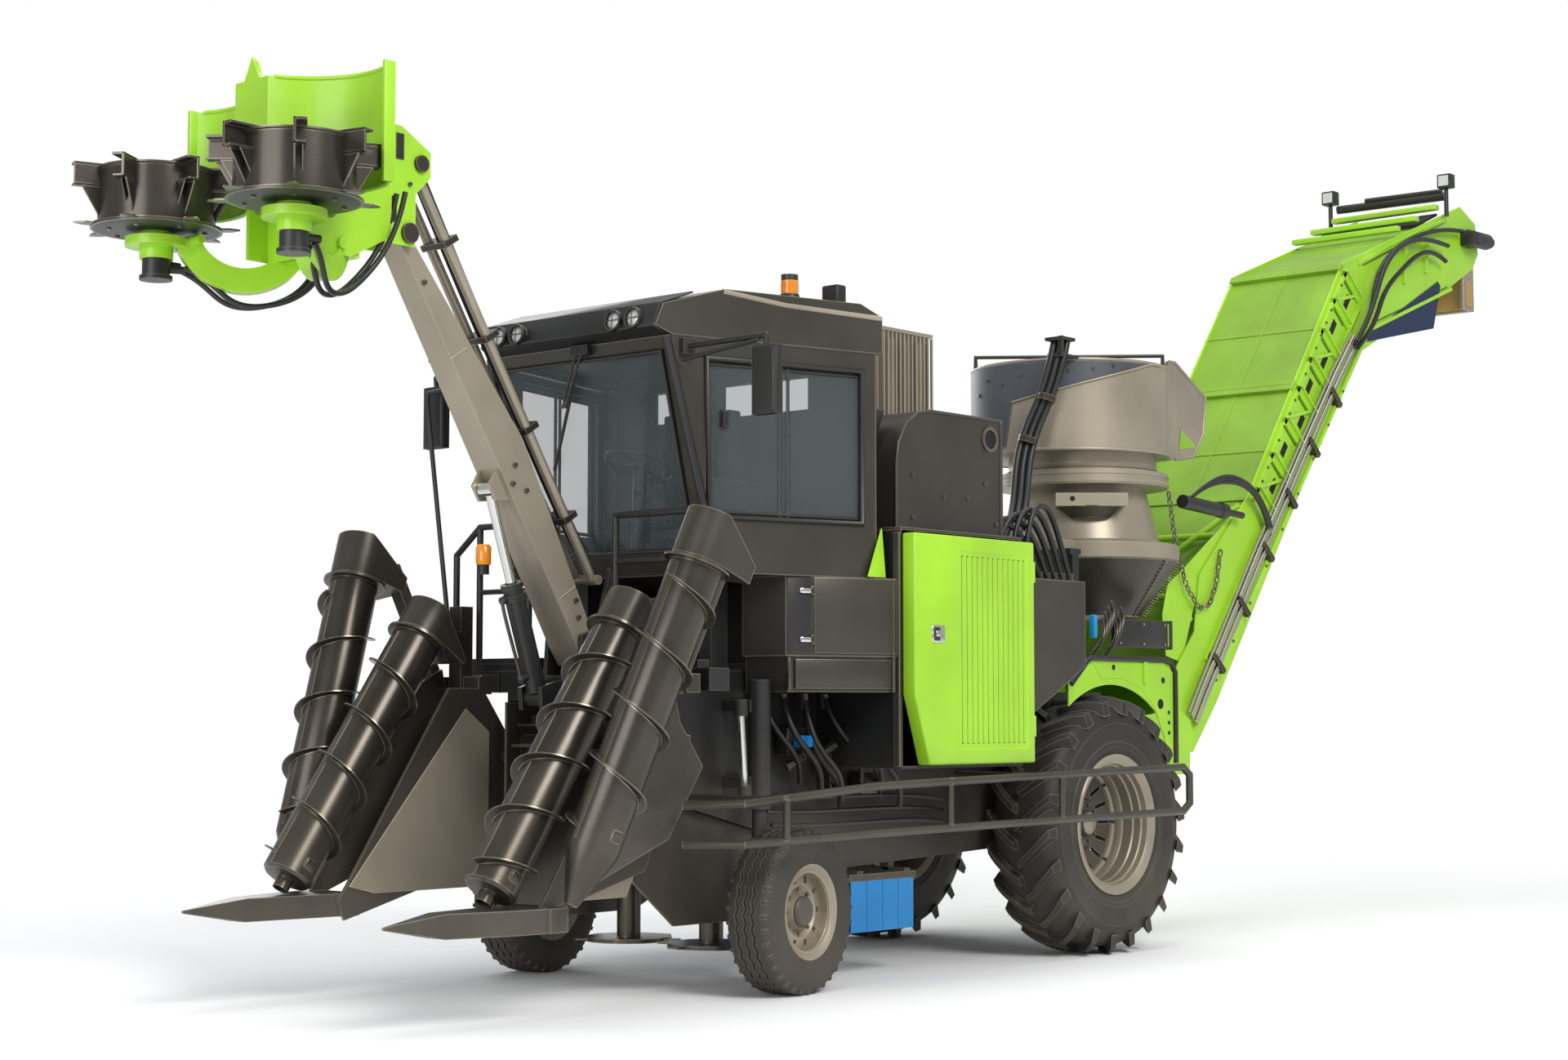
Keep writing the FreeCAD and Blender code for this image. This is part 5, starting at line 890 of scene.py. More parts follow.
def make_cab_fittings():
    for side, sign in SIDES:
        body = "chassis" if sign > 0 else "cab_door"
        x0, x1 = (2.30, 3.19) if sign > 0 else (2.35, 3.14)
        corners = [(x, sign * (wall_y(x) + 0.002), z)
                   for x, z in ((x0, 2.335), (x1 - 0.02, 2.335), (x1, 3.115), (x0, 3.115))]
        frame_line(f"window_seal_{side}", corners, 0.019, body, BLACK)
        mid = (x0 + x1) / 2 - 0.03
        bars = [rod("bar", (x, sign * (wall_y(x) - 0.018), 2.34), (x, sign * (wall_y(x) - 0.018), 3.11),
                    0.009, sides=8)
                for x in (mid, mid + 0.045)]
        bars.append(rod("rail", (x0, sign * (wall_y(x0) - 0.018), 2.36),
                        (x1, sign * (wall_y(x1) - 0.018), 2.36), 0.010, sides=8))
        bars.append(rod("rail_up", (x0, sign * (wall_y(x0) - 0.018), 3.09),
                        (x1, sign * (wall_y(x1) - 0.018), 3.09), 0.010, sides=8))
        latch = block("latch", (x1 - 0.13, -0.012, 2.78), (x1 - 0.09, 0.012, 2.86))
        latch.location = (0, sign * (wall_y(x1 - 0.11) - 0.008), 0)
        bars.append(settle(latch))
        done(join(f"window_bars_{side}", bars), body, BLACK)
        post = line(f"pillar_{side}",
                    [(windscreen_x(z) + 0.012, sign * (wall_y(windscreen_x(z)) - 0.012), z)
                     for z in (2.07, 3.21)],
                    0.022, bent=False)
        done(post, "chassis", BLACK)
    glass = plate("door_pane", "XZ", ((2.35, 2.33), (3.14, 2.33), (3.14, 3.12), (2.35, 3.12)), -0.004, 0.004)
    for vertex in glass.data.vertices:
        vertex.co.y -= wall_y(vertex.co.x) - 0.020
    done(glass, "cab_door", GLASS)
    handle = [line("grip", [(3.08, -wall_y(3.08) - 0.008, 2.62), (3.08, -wall_y(3.08) - 0.045, 2.62),
                            (3.02, -wall_y(3.02) - 0.045, 2.62),
                            (3.02, -wall_y(3.02) - 0.008, 2.62)], 0.010, bent=False)]
    done(join("door_handle", handle), "cab_door", BLACK)
    seal = [(windscreen_x(z) + 0.006, y, z)
            for y, z in ((-0.575, 2.18), (0.575, 2.18), (0.575, 3.14), (-0.575, 3.14))]
    frame_line("screen_seal", seal, 0.016, "chassis", BLACK)
    # visor with two pairs of lamps
    visor = plate("visor", "XZ",
                  ((3.385, 3.212), (3.476, 3.250), (3.481, 3.258), (3.437, 3.372), (3.20, 3.455),
                   (3.19, 3.447),
                                  (3.428, 3.364), (3.470, 3.258), (3.380, 3.220)), -0.618, 0.618)
    done(soften(visor, 0.003, 1), "chassis", BLACK)
    for y in (-0.48, -0.345, 0.345, 0.48):
        tilt = (math.cos(0.1), 0, math.sin(0.1))
        bezel = turn_up("bezel", ((0.040, -0.02), (0.052, -0.02), (0.056, 0.008), (0.052, 0.018),
                                  (0.045, 0.016), (0.041, 0.0)), (3.478, y, 3.300), tilt, 32)
        done(bezel, "chassis", BLACK)
        lens = turn_up("lens", ((0.0005, 0.014), (0.018, 0.012), (0.036, 0.006), (0.042, 0.0),
                                (0.040, -0.012), (0.0005, -0.012)), (3.478, y, 3.300), tilt, 32)
        done(lens, "chassis", LAMP)
        cross = [rod("cross", Vector((3.493, y, 3.301)) + Vector(d) * 0.038,
                     Vector((3.493, y, 3.301)) - Vector(d) * 0.038, 0.0025, sides=6)
                 for d in ((0, 1, 0), (-0.1, 0, 0.99))]
        done(join("lamp_cross", cross), "chassis", BLACK)
    # beige tube along each roof edge as a painted highlight, beacon and rear lamp
    for side, sign in SIDES:
        rail = line(f"roof_rail_{side}",
                    [(2.19, sign * 0.998, 3.398), (2.75, sign * 0.832, 3.415), (3.10, sign * 0.728, 3.452)],
                    0.014, bent=False)
        done(rail, "chassis", BEIGE)
    done(turn_up("beacon_base", ((0.002, 0), (0.052, 0), (0.056, 0.012), (0.050, 0.03), (0.002, 0.03)),
                 (2.33, 0.5, 3.532), steps=32), "chassis", BLACK)
    done(turn_up("beacon_lens",
                 ((0.047, 0.03), (0.049, 0.05), (0.047, 0.058), (0.049, 0.068), (0.047, 0.10), (0.030, 0.117),
                  (0.001, 0.119),
                                 (0.001, 0.03)), (2.33, 0.5, 3.532), steps=32), "chassis", AMBER)
    lamp = block("roof_lamp", (2.222, 0.69, 3.47), (2.298, 0.80, 3.59))
    done(soften(lamp, 0.012, 3), "chassis", BLACK)
    lens = block("roof_lamp_lens", (2.226, 0.70, 3.48), (2.219, 0.79, 3.58))
    done(soften(lens, 0.002, 1), "chassis", LAMP)
    # wiper
    arm = [rod("arm", (windscreen_x(3.17) + 0.035, 0.06, 3.19), (windscreen_x(2.95) + 0.02, -0.13, 2.92),
               0.007, sides=8),
           rod("arm2", (windscreen_x(3.17) + 0.035, 0.02, 3.19), (windscreen_x(2.95) + 0.02, -0.15, 2.92),
               0.006, sides=8),
           rod("blade", (windscreen_x(3.08) + 0.012, -0.03, 3.08), (windscreen_x(2.62) + 0.012, -0.30, 2.62),
               0.009, sides=8),
           block("wiper_motor", (3.375, -0.02, 3.165), (3.42, 0.10, 3.215))]
    done(join("wiper", arm), "chassis", BLACK)
    # mirrors: rounded heads on tubular arms
    for side, sign in SIDES:
        head = block(f"mirror_head_{side}", (3.262, sign * 1.18 - 0.078, 2.785),
                     (3.315, sign * 1.18 + 0.078, 3.125))
        done(soften(head, 0.022, 4), "chassis", BLACK)
        face = block(f"mirror_face_{side}", (3.2585, sign * 1.18 - 0.062, 2.81),
                     (3.262, sign * 1.18 + 0.062, 3.10))
        done(face, "chassis", CHROME)
        second = rod(f"mirror_stay_{side}", (3.345, sign * 0.68, 3.09), (3.30, sign * 1.14, 3.150), 0.011,
                     sides=12)
        done(second, "chassis", BLACK)
    long_post = line("mirror_post",
                     [(3.345, -0.70, 3.12), (3.36, -1.16, 3.08), (3.36, -1.17, 3.04), (3.37, -0.95, 1.70)],
                     0.013, bent=False)
    done(long_post, "chassis", BLACK)


def make_seat():
    floor_z = 2.102
    parts = [block("seat_box", (2.50, -0.17, floor_z), (2.83, 0.17, floor_z + 0.16)),
             block("seat_plate", (2.45, -0.23, floor_z + 0.16), (2.88, 0.23, floor_z + 0.21)),
             block("console", (2.48, 0.32, floor_z), (2.90, 0.45, floor_z + 0.46)),
             block("console_foot", (2.48, 0.15, floor_z), (2.90, 0.34, floor_z + 0.05)),
             rod("stick", (2.80, 0.385, floor_z + 0.44), (2.82, 0.385, floor_z + 0.60), 0.012),
             rod("grip", (2.815, 0.385, floor_z + 0.56), (2.83, 0.385, floor_z + 0.68), 0.026),
             rod("column", (2.95, 0, floor_z), (2.93, 0, floor_z + 0.53), 0.035),
             block("column_foot", (2.83, -0.06, floor_z), (2.99, 0.06, floor_z + 0.03))]
    done(soften(join("seat_frame", parts), 0.006, 2), "chassis", BLACK)
    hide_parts("seat")
    for name, low, high in (("seat_cushion", (2.44, -0.25, floor_z + 0.21), (2.92, 0.25, floor_z + 0.33)),
                            ("seat_back", (2.40, -0.24, floor_z + 0.32), (2.52, 0.24, floor_z + 0.86)),
                            ("head_rest", (2.40, -0.13, floor_z + 0.87), (2.48, 0.13, floor_z + 1.02))):
        pad = block(name, low, high)
        hold(pad)
        bpy.ops.object.mode_set(mode="EDIT")
        bpy.ops.mesh.select_all(action="SELECT")
        bpy.ops.mesh.subdivide(number_cuts=5)
        bpy.ops.object.mode_set(mode="OBJECT")
        middle = [(a + b) / 2 for a, b in zip(low, high)]
        size = [b - a for a, b in zip(low, high)]
        for vertex in pad.data.vertices:
            n = [abs(c - m) / s * 2 for c, m, s in zip(vertex.co, middle, size)]
            thin = size.index(min(size))
            crown = 1.0
            for axis in (0, 1, 2):
                if axis != thin:
                    crown *= 1 - n[axis] ** 4
            vertex.co[thin] = middle[thin] + (vertex.co[thin] - middle[thin]) * (0.80 + 0.20 * crown)
        soften(pad, 0.02, 3, 50)
        done(pad, "chassis", CLOTH, 60)
    fresh()
    bpy.ops.mesh.primitive_torus_add(major_radius=0.18, minor_radius=0.013, major_segments=48,
                                     minor_segments=10, location=(0, 0, 0))
    rim = bpy.context.object
    spokes = [rim, rod("spoke", (-0.17, 0, 0), (0.17, 0, 0), 0.010),
              rod("spoke2", (0, -0.17, 0), (0, 0, 0), 0.010),
              rod("boss", (0, 0, -0.02), (0, 0, 0.02), 0.045)]
    wheel = join("steering_wheel", spokes)
    wheel.matrix_world = Matrix.Translation((2.93, 0, floor_z + 0.545)) @ Matrix.Rotation(math.radians(-22),
            4, "Y")
    done(settle(wheel), "chassis", BLACK)


# Bodywork

def make_doors():
    outline = ((1.051, 1.109), (1.98, 1.109), (2.104, 1.47), (2.104, 2.296), (1.051, 2.296))
    inner = ((1.075, 1.133), (1.965, 1.133), (2.08, 1.475), (2.08, 2.272), (1.075, 2.272))
    for side, sign in SIDES:
        low, high = sorted((sign * 1.064, sign * 1.150))
        door = soften(plate(f"louvred_door_{side}", "XZ", outline, low, high), 0.012, 3)
        low, high = sorted((sign * 1.05, sign * 1.136))
        carve(door, plate("room", "XZ", inner, low, high))
        low, high = sorted((sign * 1.1445, sign * 1.17))
        field = soften(block("field", (1.115, low, 1.185), (1.725, high, 2.225)), 0.03, 4, 80)
        carve(door, field)
        first, step = 1.135, (1.685 - 1.135) / 12
        slots = [block("slot", (first + step * i, min(sign * 1.10, sign * 1.2), 1.215),
                       (first + step * i + 0.020, max(sign * 1.10, sign * 1.2), 2.195))
                 for i in range(13)]
        carve(door, join("slots", slots))
        done(door, f"engine_door_{side}", LIME, 30)
        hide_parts(f"engine_door_{side}")
        blades = [rod("blade", (first + step * i + 0.004, sign * 1.138, 1.22),
                      (first + step * i + 0.004, sign * 1.138, 2.19), 0.006, sides=6)
                  for i in range(13)]
        done(join(f"louvre_blades_{side}", blades), f"engine_door_{side}", LIME)
        # dark lime strips behind each louvre slot: painted shade
        low, high = sorted((sign * 1.1365, sign * 1.1385))
        shade = [block("shade", (first + step * i + 0.008, low, 1.217),
                       (first + step * i + 0.0195, high, 2.193)) for i in range(13)]
        done(join(f"louvre_shade_{side}", shade), f"engine_door_{side}", PAINTED_SHADE)
        pins = [rod("pin", (1.053, sign * 1.14, z), (1.053, sign * 1.14, z + 0.11), 0.013)
                for z in (1.25, 2.08)]
        done(join(f"door_pins_{side}", pins), f"engine_door_{side}", LIME)
        low, high = sorted((sign * 1.148, sign * 1.156))
        back = soften(block("latch_back", (1.86, low, 1.735), (1.965, high, 1.825)), 0.004, 2)
        done(back, f"engine_door_{side}", CHROME)
        low, high = sorted((sign * 1.15, sign * 1.1605))
        done(soften(block("latch_hollow", (1.905, low, 1.745), (1.955, high, 1.815)), 0.004, 2),
             f"engine_door_{side}", BLACK)
        low, high = sorted((sign * 1.155, sign * 1.168))
        done(soften(block("latch_lever", (1.915, low, 1.765), (1.945, high, 1.80)), 0.006, 2),
             f"engine_door_{side}", CHROME)
        # edge strip between cab box and door, and sill strip
        strip = [block("strip", (2.108, min(sign * 1.02, sign * 1.062), 1.10),
                       (2.124, max(sign * 1.02, sign * 1.062), 2.30)),
                 block("strip2", (2.132, min(sign * 1.00, sign * 1.045), 1.48),
                       (2.150, max(sign * 1.00, sign * 1.045), 2.06))]
        done(soften(join(f"bay_strips_{side}", strip), 0.003, 1), "chassis", DARK)


def make_boxes():
    for side, sign in SIDES:
        # cover panel with seams on the flared face, latch panel at its front
        def skin(name, x0, x1, z0, z1, out0, out1, finish, width=0.004):
            piece = plate(name, "XZ", ((x0, z0), (x1, z0), (x1, z1), (x0, z1)), out0, out1)
            for vertex in piece.data.vertices:
                base = 1.05 - (vertex.co.x - 2.112) * 0.24 / 0.608
                vertex.co.y = sign * (base + vertex.co.y)
            hold(piece)
            bpy.ops.object.mode_set(mode="EDIT")
            bpy.ops.mesh.select_all(action="SELECT")
            bpy.ops.mesh.normals_make_consistent(inside=False)
            bpy.ops.object.mode_set(mode="OBJECT")
            return done(soften(piece, width, 2), "chassis", finish)
        skin(f"box_cover_{side}", 2.125, 2.575, 1.672, 2.055, -0.01, 0.008, DARK)
        skin(f"box_latch_panel_{side}", 2.585, 2.715, 1.672, 2.062, -0.01, 0.006, BLACK)
        skin(f"box_sill_{side}", 2.125, 2.66, 1.495, 1.645, -0.03, -0.006, DARK)
        for k, z in enumerate((1.74, 1.985)):
            skin(f"box_latch_{side}_{k}", 2.60, 2.655, z - 0.012, z + 0.014, 0.004, 0.020, CHROME)
            skin(f"box_catch_{side}_{k}", 2.575, 2.595, z - 0.022, z + 0.024, 0.004, 0.016, STEEL)
        skin(f"box_front_edge_{side}", 2.690, 2.700, 1.49, 1.65, -0.03, -0.004, STEEL)
    tri = plate("green_fin", "XZ", ((2.16, 2.065), (2.30, 2.065), (2.19, 2.315)), 0.995, 1.003)
    done(tri, "chassis", LIME)


def make_cowl():
    z0, z1, x0, x1, half = 2.328, 2.975, 1.045, 1.98, 0.93
    for side, sign in SIDES:
        y = sign * half
        ring = turn_up("cowl_ring",
                       ((0.052, -0.004), (0.052, 0.010), (0.060, 0.014), (0.070, 0.010), (0.072, -0.004)),
                       (1.155, y, 2.865), (0, sign, 0), 32)
        done(ring, "chassis", DARK)
        # near-black disc inside the ring: painted shade of the hole
        hole = rod("cowl_hole", (1.155, y - sign * 0.02, 2.865), (1.155, y + sign * 0.003, 2.865), 0.054)
        done(hole, "chassis", HOLE_SHADE)
        bolts = [rod("bolt", (x, y, z), (x, y + sign * 0.008, z), 0.012, sides=6)
                 for x, z in ((1.57, 2.52), (1.36, 2.53), (1.84, 2.62), (1.84, 2.40), (1.10, 2.40),
                              (1.20, 2.62))]
        done(join(f"cowl_bolts_{side}", bolts), "chassis", STEEL)
        edge = line(f"cowl_edge_{side}", [(x0 + 0.004, y, z0 + 0.01), (x0 + 0.004, y, z1 - 0.004)], 0.010,
                    bent=False)
        rim = line(f"cowl_rim_{side}",
                   [(x1 - 0.002, y, 2.34), (x1 - 0.002, y, z1 - 0.30), (x1 - 0.02, y, z1 - 0.19),
                    (x1 - 0.09, y, z1 - 0.088),
                                        (x1 - 0.19, y, z1 - 0.02), (x1 - 0.30, y, z1 - 0.002),
                                        (x0 + 0.004, y, z1 - 0.002)], 0.009, bent=False)
        done(join(f"cowl_edges_{side}", [edge, rim]), "chassis", DARK)
    # dark curved screen between cab and cowl
    screen = plate("cowl_screen", "XZ",
                   ((1.98, 2.33), (2.15, 2.33), (2.15, 2.86), (2.12, 2.93), (2.05, 2.97), (1.90, 2.97),
                    (1.98, 2.80)), -0.80, 0.80)
    done(soften(screen, 0.01, 2), "chassis", BLACK)
    fins = [block("fin", (1.055 + 0.036 * i, 0.458, 3.0), (1.067 + 0.036 * i, 0.470, 3.475))
            for i in range(13)]
    fins += [block("fin", (1.505, 0.030 + 0.036 * i, 3.0), (1.517, 0.042 + 0.036 * i, 3.475))
             for i in range(12)]
    done(join("intake_fins", fins), "chassis", BEIGE)


# Extractor

def make_extractor():
    bands = []
    for r, z, h, out in ((0.600, 2.336, 0.094, 0.008), (0.540, 2.806, 0.030, 0.007),
                         (0.540, 2.856, 0.026, 0.007), (0.470, 2.905, 0.012, 0.010)):
        bands.append(turn_up("band", ((r - 0.004, 0), (r + out, 0.004), (r + out, h - 0.004), (r - 0.004, h)),
                             (-1.13, 0, z), steps=72))
    done(join("extractor_bands", bands), "chassis", BEIGE)
    # seam with a row of rivets on the lower cone, facing the camera's right
    rivets = []
    for i in range(16):
        t = i / 15
        r, z = 0.366 + 0.228 * t, 1.995 + 0.325 * t
        for a in (math.radians(92), math.radians(212), math.radians(332)):
            c = Vector((-1.13 + r * math.cos(a), r * math.sin(a), z))
            rivets.append(rod("rivet", c, c + Vector((0.011 * math.cos(a), 0.011 * math.sin(a), -0.008)),
                              0.009, sides=6))
    done(join("cone_rivets", rivets), "chassis", STEEL)
    turn = Matrix.Translation((-1.13, 0, 0)) @ Matrix.Rotation(math.radians(40), 4, "Z")
    shelf = [block("lip", (0.35, -0.222, 2.724), (0.536, 0.222, 2.736)),
             block("front", (0.528, -0.222, 2.655), (0.538, 0.222, 2.736))]
    piece = join("shelf_lips", shelf)
    piece.matrix_world = turn
    done(settle(piece), "chassis", BEIGE)
    # near-black disc: painted shade of the shelf's hole
    hole = rod("shelf_hole", (0.534, -0.12, 2.70), (0.5395, -0.12, 2.70), 0.016)
    hole.matrix_world = turn
    done(settle(hole), "chassis", HOLE_SHADE)
    cone = turn_up("shelf_cone", ((0.02, 0), (0.10, 0.0), (0.17, 0.075), (0.02, 0.075)), (0, 0, 0), steps=32)
    cone.scale = (0.6, 1.2, 1)
    cone.location = (0.44, 0, 2.585)
    settle(cone)
    cone.matrix_world = turn
    done(settle(cone), "chassis", DARK)
    # hood: rolled rims, lip edges and bar across
    centre = Vector((-1.078, -0.06, 0))
    def arc(r, z, a0, a1, n=40):
        return [(centre.x + r * math.cos(math.radians(a0 + (a1 - a0) * i / n)),
                 centre.y + r * math.sin(math.radians(a0 + (a1 - a0) * i / n)), z)
                for i in range(n + 1)]
    done(line("hood_rim", arc(0.621, 3.558, -140, 142), 0.011, bent=False), "extractor_hood", BEIGE)
    done(line("hood_foot", arc(0.626, 3.003, -141, 139), 0.010, bent=False), "extractor_hood", BEIGE)
    for sign in (1, -1):
        edge = [(-1.13 - 0.42, sign * 0.43, 3.001), (-1.77, sign * 0.43, 3.035), (-1.89, sign * 0.43, 3.185),
                (-1.93, sign * 0.43, 3.435),
                (-1.56, sign * 0.43, 3.628), (-1.49, sign * 0.43, 3.628)]
        done(line("lip_edge", edge, 0.010, bent=False), "extractor_hood", BEIGE)
    done(block("hood_closing", (-1.565, 0.418, 3.0), (-1.435, 0.431, 3.60)), "extractor_hood", BEIGE)
    across = Vector((-0.653, 0.757, 0))
    a, b = centre - across * 0.60 + Vector((0, 0, 3.655)), centre + across * 0.60 + Vector((0, 0, 3.665))
    bar = [line("bar", [tuple(a - Vector((0, 0, 0.13))), tuple(a), tuple(b), tuple(b - Vector((0, 0, 0.14)))],
                0.016, bent=False)]
    done(join("hood_bar", bar), "extractor_hood", BLACK)
    for k in range(3):
        off = Vector((-0.026, 0.030, 0)) * (k - 1)
        path = [Vector(p) for p in ((-0.46, 0.30, 3.66), (-0.434, 0.305, 3.60), (-0.40, 0.27, 3.38),
                                    (-0.334, 0.20, 3.18), (-0.275, 0.16, 3.0),
                                    (-0.20, 0.18, 2.81), (-0.10, 0.24, 2.55), (0.20, 0.36, 2.35),
                                    (0.50, 0.46, 2.12))]
        done(line(f"hood_hose_{k}", [tuple(p + off) for p in path], 0.021), "chassis", BLACK)
    clips = [rod("clip", Vector(p) - Vector(d) * 0.02, Vector(p) + Vector(d) * 0.02, 0.058, sides=20)
             for p, d in (((-0.375, 0.25, 3.30), (0.2, -0.2, -0.95)),
                          ((-0.285, 0.17, 3.04), (0.2, -0.2, -0.95)))]
    done(join("hose_clips_hood", clips), "chassis", STEEL)
    bracket = [block("arm", (-0.62, 0.24, 3.555), (-0.40, 0.34, 3.575)),
               block("post", (-0.52, 0.24, 3.56), (-0.50, 0.27, 3.68)),
               block("post2", (-0.42, 0.32, 3.56), (-0.40, 0.35, 3.68)),
               block("cap", (-0.53, 0.23, 3.655), (-0.39, 0.36, 3.675))]
    done(join("hose_bracket", bracket), "extractor_hood", BLACK)


# Elevator

COVER_LINE = ((-2.445, 2.808), (-3.808, 4.568), (-4.650, 4.878))


def cover_point(t, lift=0.0):
    """A point of the cover's outer face, t along its straight run from the foot."""
    a, b = Vector(COVER_LINE[0]), Vector(COVER_LINE[1])
    run = (b - a).normalized()
    p = a + run * t
    return Vector((p.x + run.y * lift, p.y - run.x * lift))


def side_strip(name, x0, z0, x1, z1, width, y0, y1):
    """A flat bar in the side's plane between two points."""
    a, b = Vector((x0, z0)), Vector((x1, z1))
    run = (b - a).normalized()
    over = Vector((-run.y, run.x)) * (width / 2)
    corners = [tuple(a - over), tuple(b - over), tuple(b + over), tuple(a + over)]
    return plate(name, "XZ", corners, min(y0, y1), max(y0, y1))


def make_elevator_cover():
    cover = nodes["elevator_cover"]
    cover.data.materials.clear()
    cover.data.materials.append(COVER)
    # folded lips and lapped seams across the cover
    for k, (t, wide, lift) in enumerate(((0.0, 0.020, 0.012), (0.44, 0.012, 0.007), (1.01, 0.022, 0.030),
                                         (1.06, 0.016, 0.020), (1.60, 0.012, 0.007),
                                         (2.19, 0.028, 0.034))):
        a, b = cover_point(t - wide, 0.0), cover_point(t + wide, 0.0)
        c, d = cover_point(t + wide, lift), cover_point(t - wide, lift)
        reach = 0.452 if lift > 0.015 else 0.436
        piece = plate(f"cover_seam_{k}", "XZ", (tuple(a), tuple(b), tuple(c), tuple(d)), -reach, reach)
        done(soften(piece, 0.003, 1), "elevator", COVER)
    middle = side_strip("cover_join", *cover_point(0.02, 0.003), *cover_point(2.17, 0.003), 0.004, -0.006,
                        0.006)
    done(middle, "elevator", COVER)
    # lower closing sheet, its struts and the gusset of the foot
    sheet = plate("foot_sheet", "XZ", ((-1.62, 1.64), (-2.43, 2.79), (-2.455, 2.775), (-1.645, 1.62)), -0.43,
                  0.43)
    done(sheet, "elevator", COVER)
    struts = [rod("strut", (-2.36, 0.42, 2.76), (-1.72, -0.42, 1.98), 0.020, sides=12),
              rod("strut2", (-2.36, -0.42, 2.76), (-1.72, 0.42, 1.98), 0.020, sides=12),
              rod("strut3", (-2.20, -0.43, 2.55), (-2.20, 0.43, 2.55), 0.024, sides=12),
              rod("strut4", (-1.90, -0.43, 2.14), (-1.90, 0.43, 2.14), 0.024, sides=12)]
    done(join("foot_struts", struts), "elevator", LIME)
    for side, sign in SIDES:
        low, high = sorted((sign * 0.418, sign * 0.430))
        gusset = plate(f"foot_gusset_{side}", "XZ",
                       ((-2.33, 2.73), (-1.60, 2.275), (-1.45, 2.20), (-1.385, 2.00), (-1.42, 1.74),
                        (-1.60, 1.70),
                                                     (-1.82, 2.20), (-2.36, 2.70)), low, high)
        done(soften(gusset, 0.003, 1), "elevator", LIME)


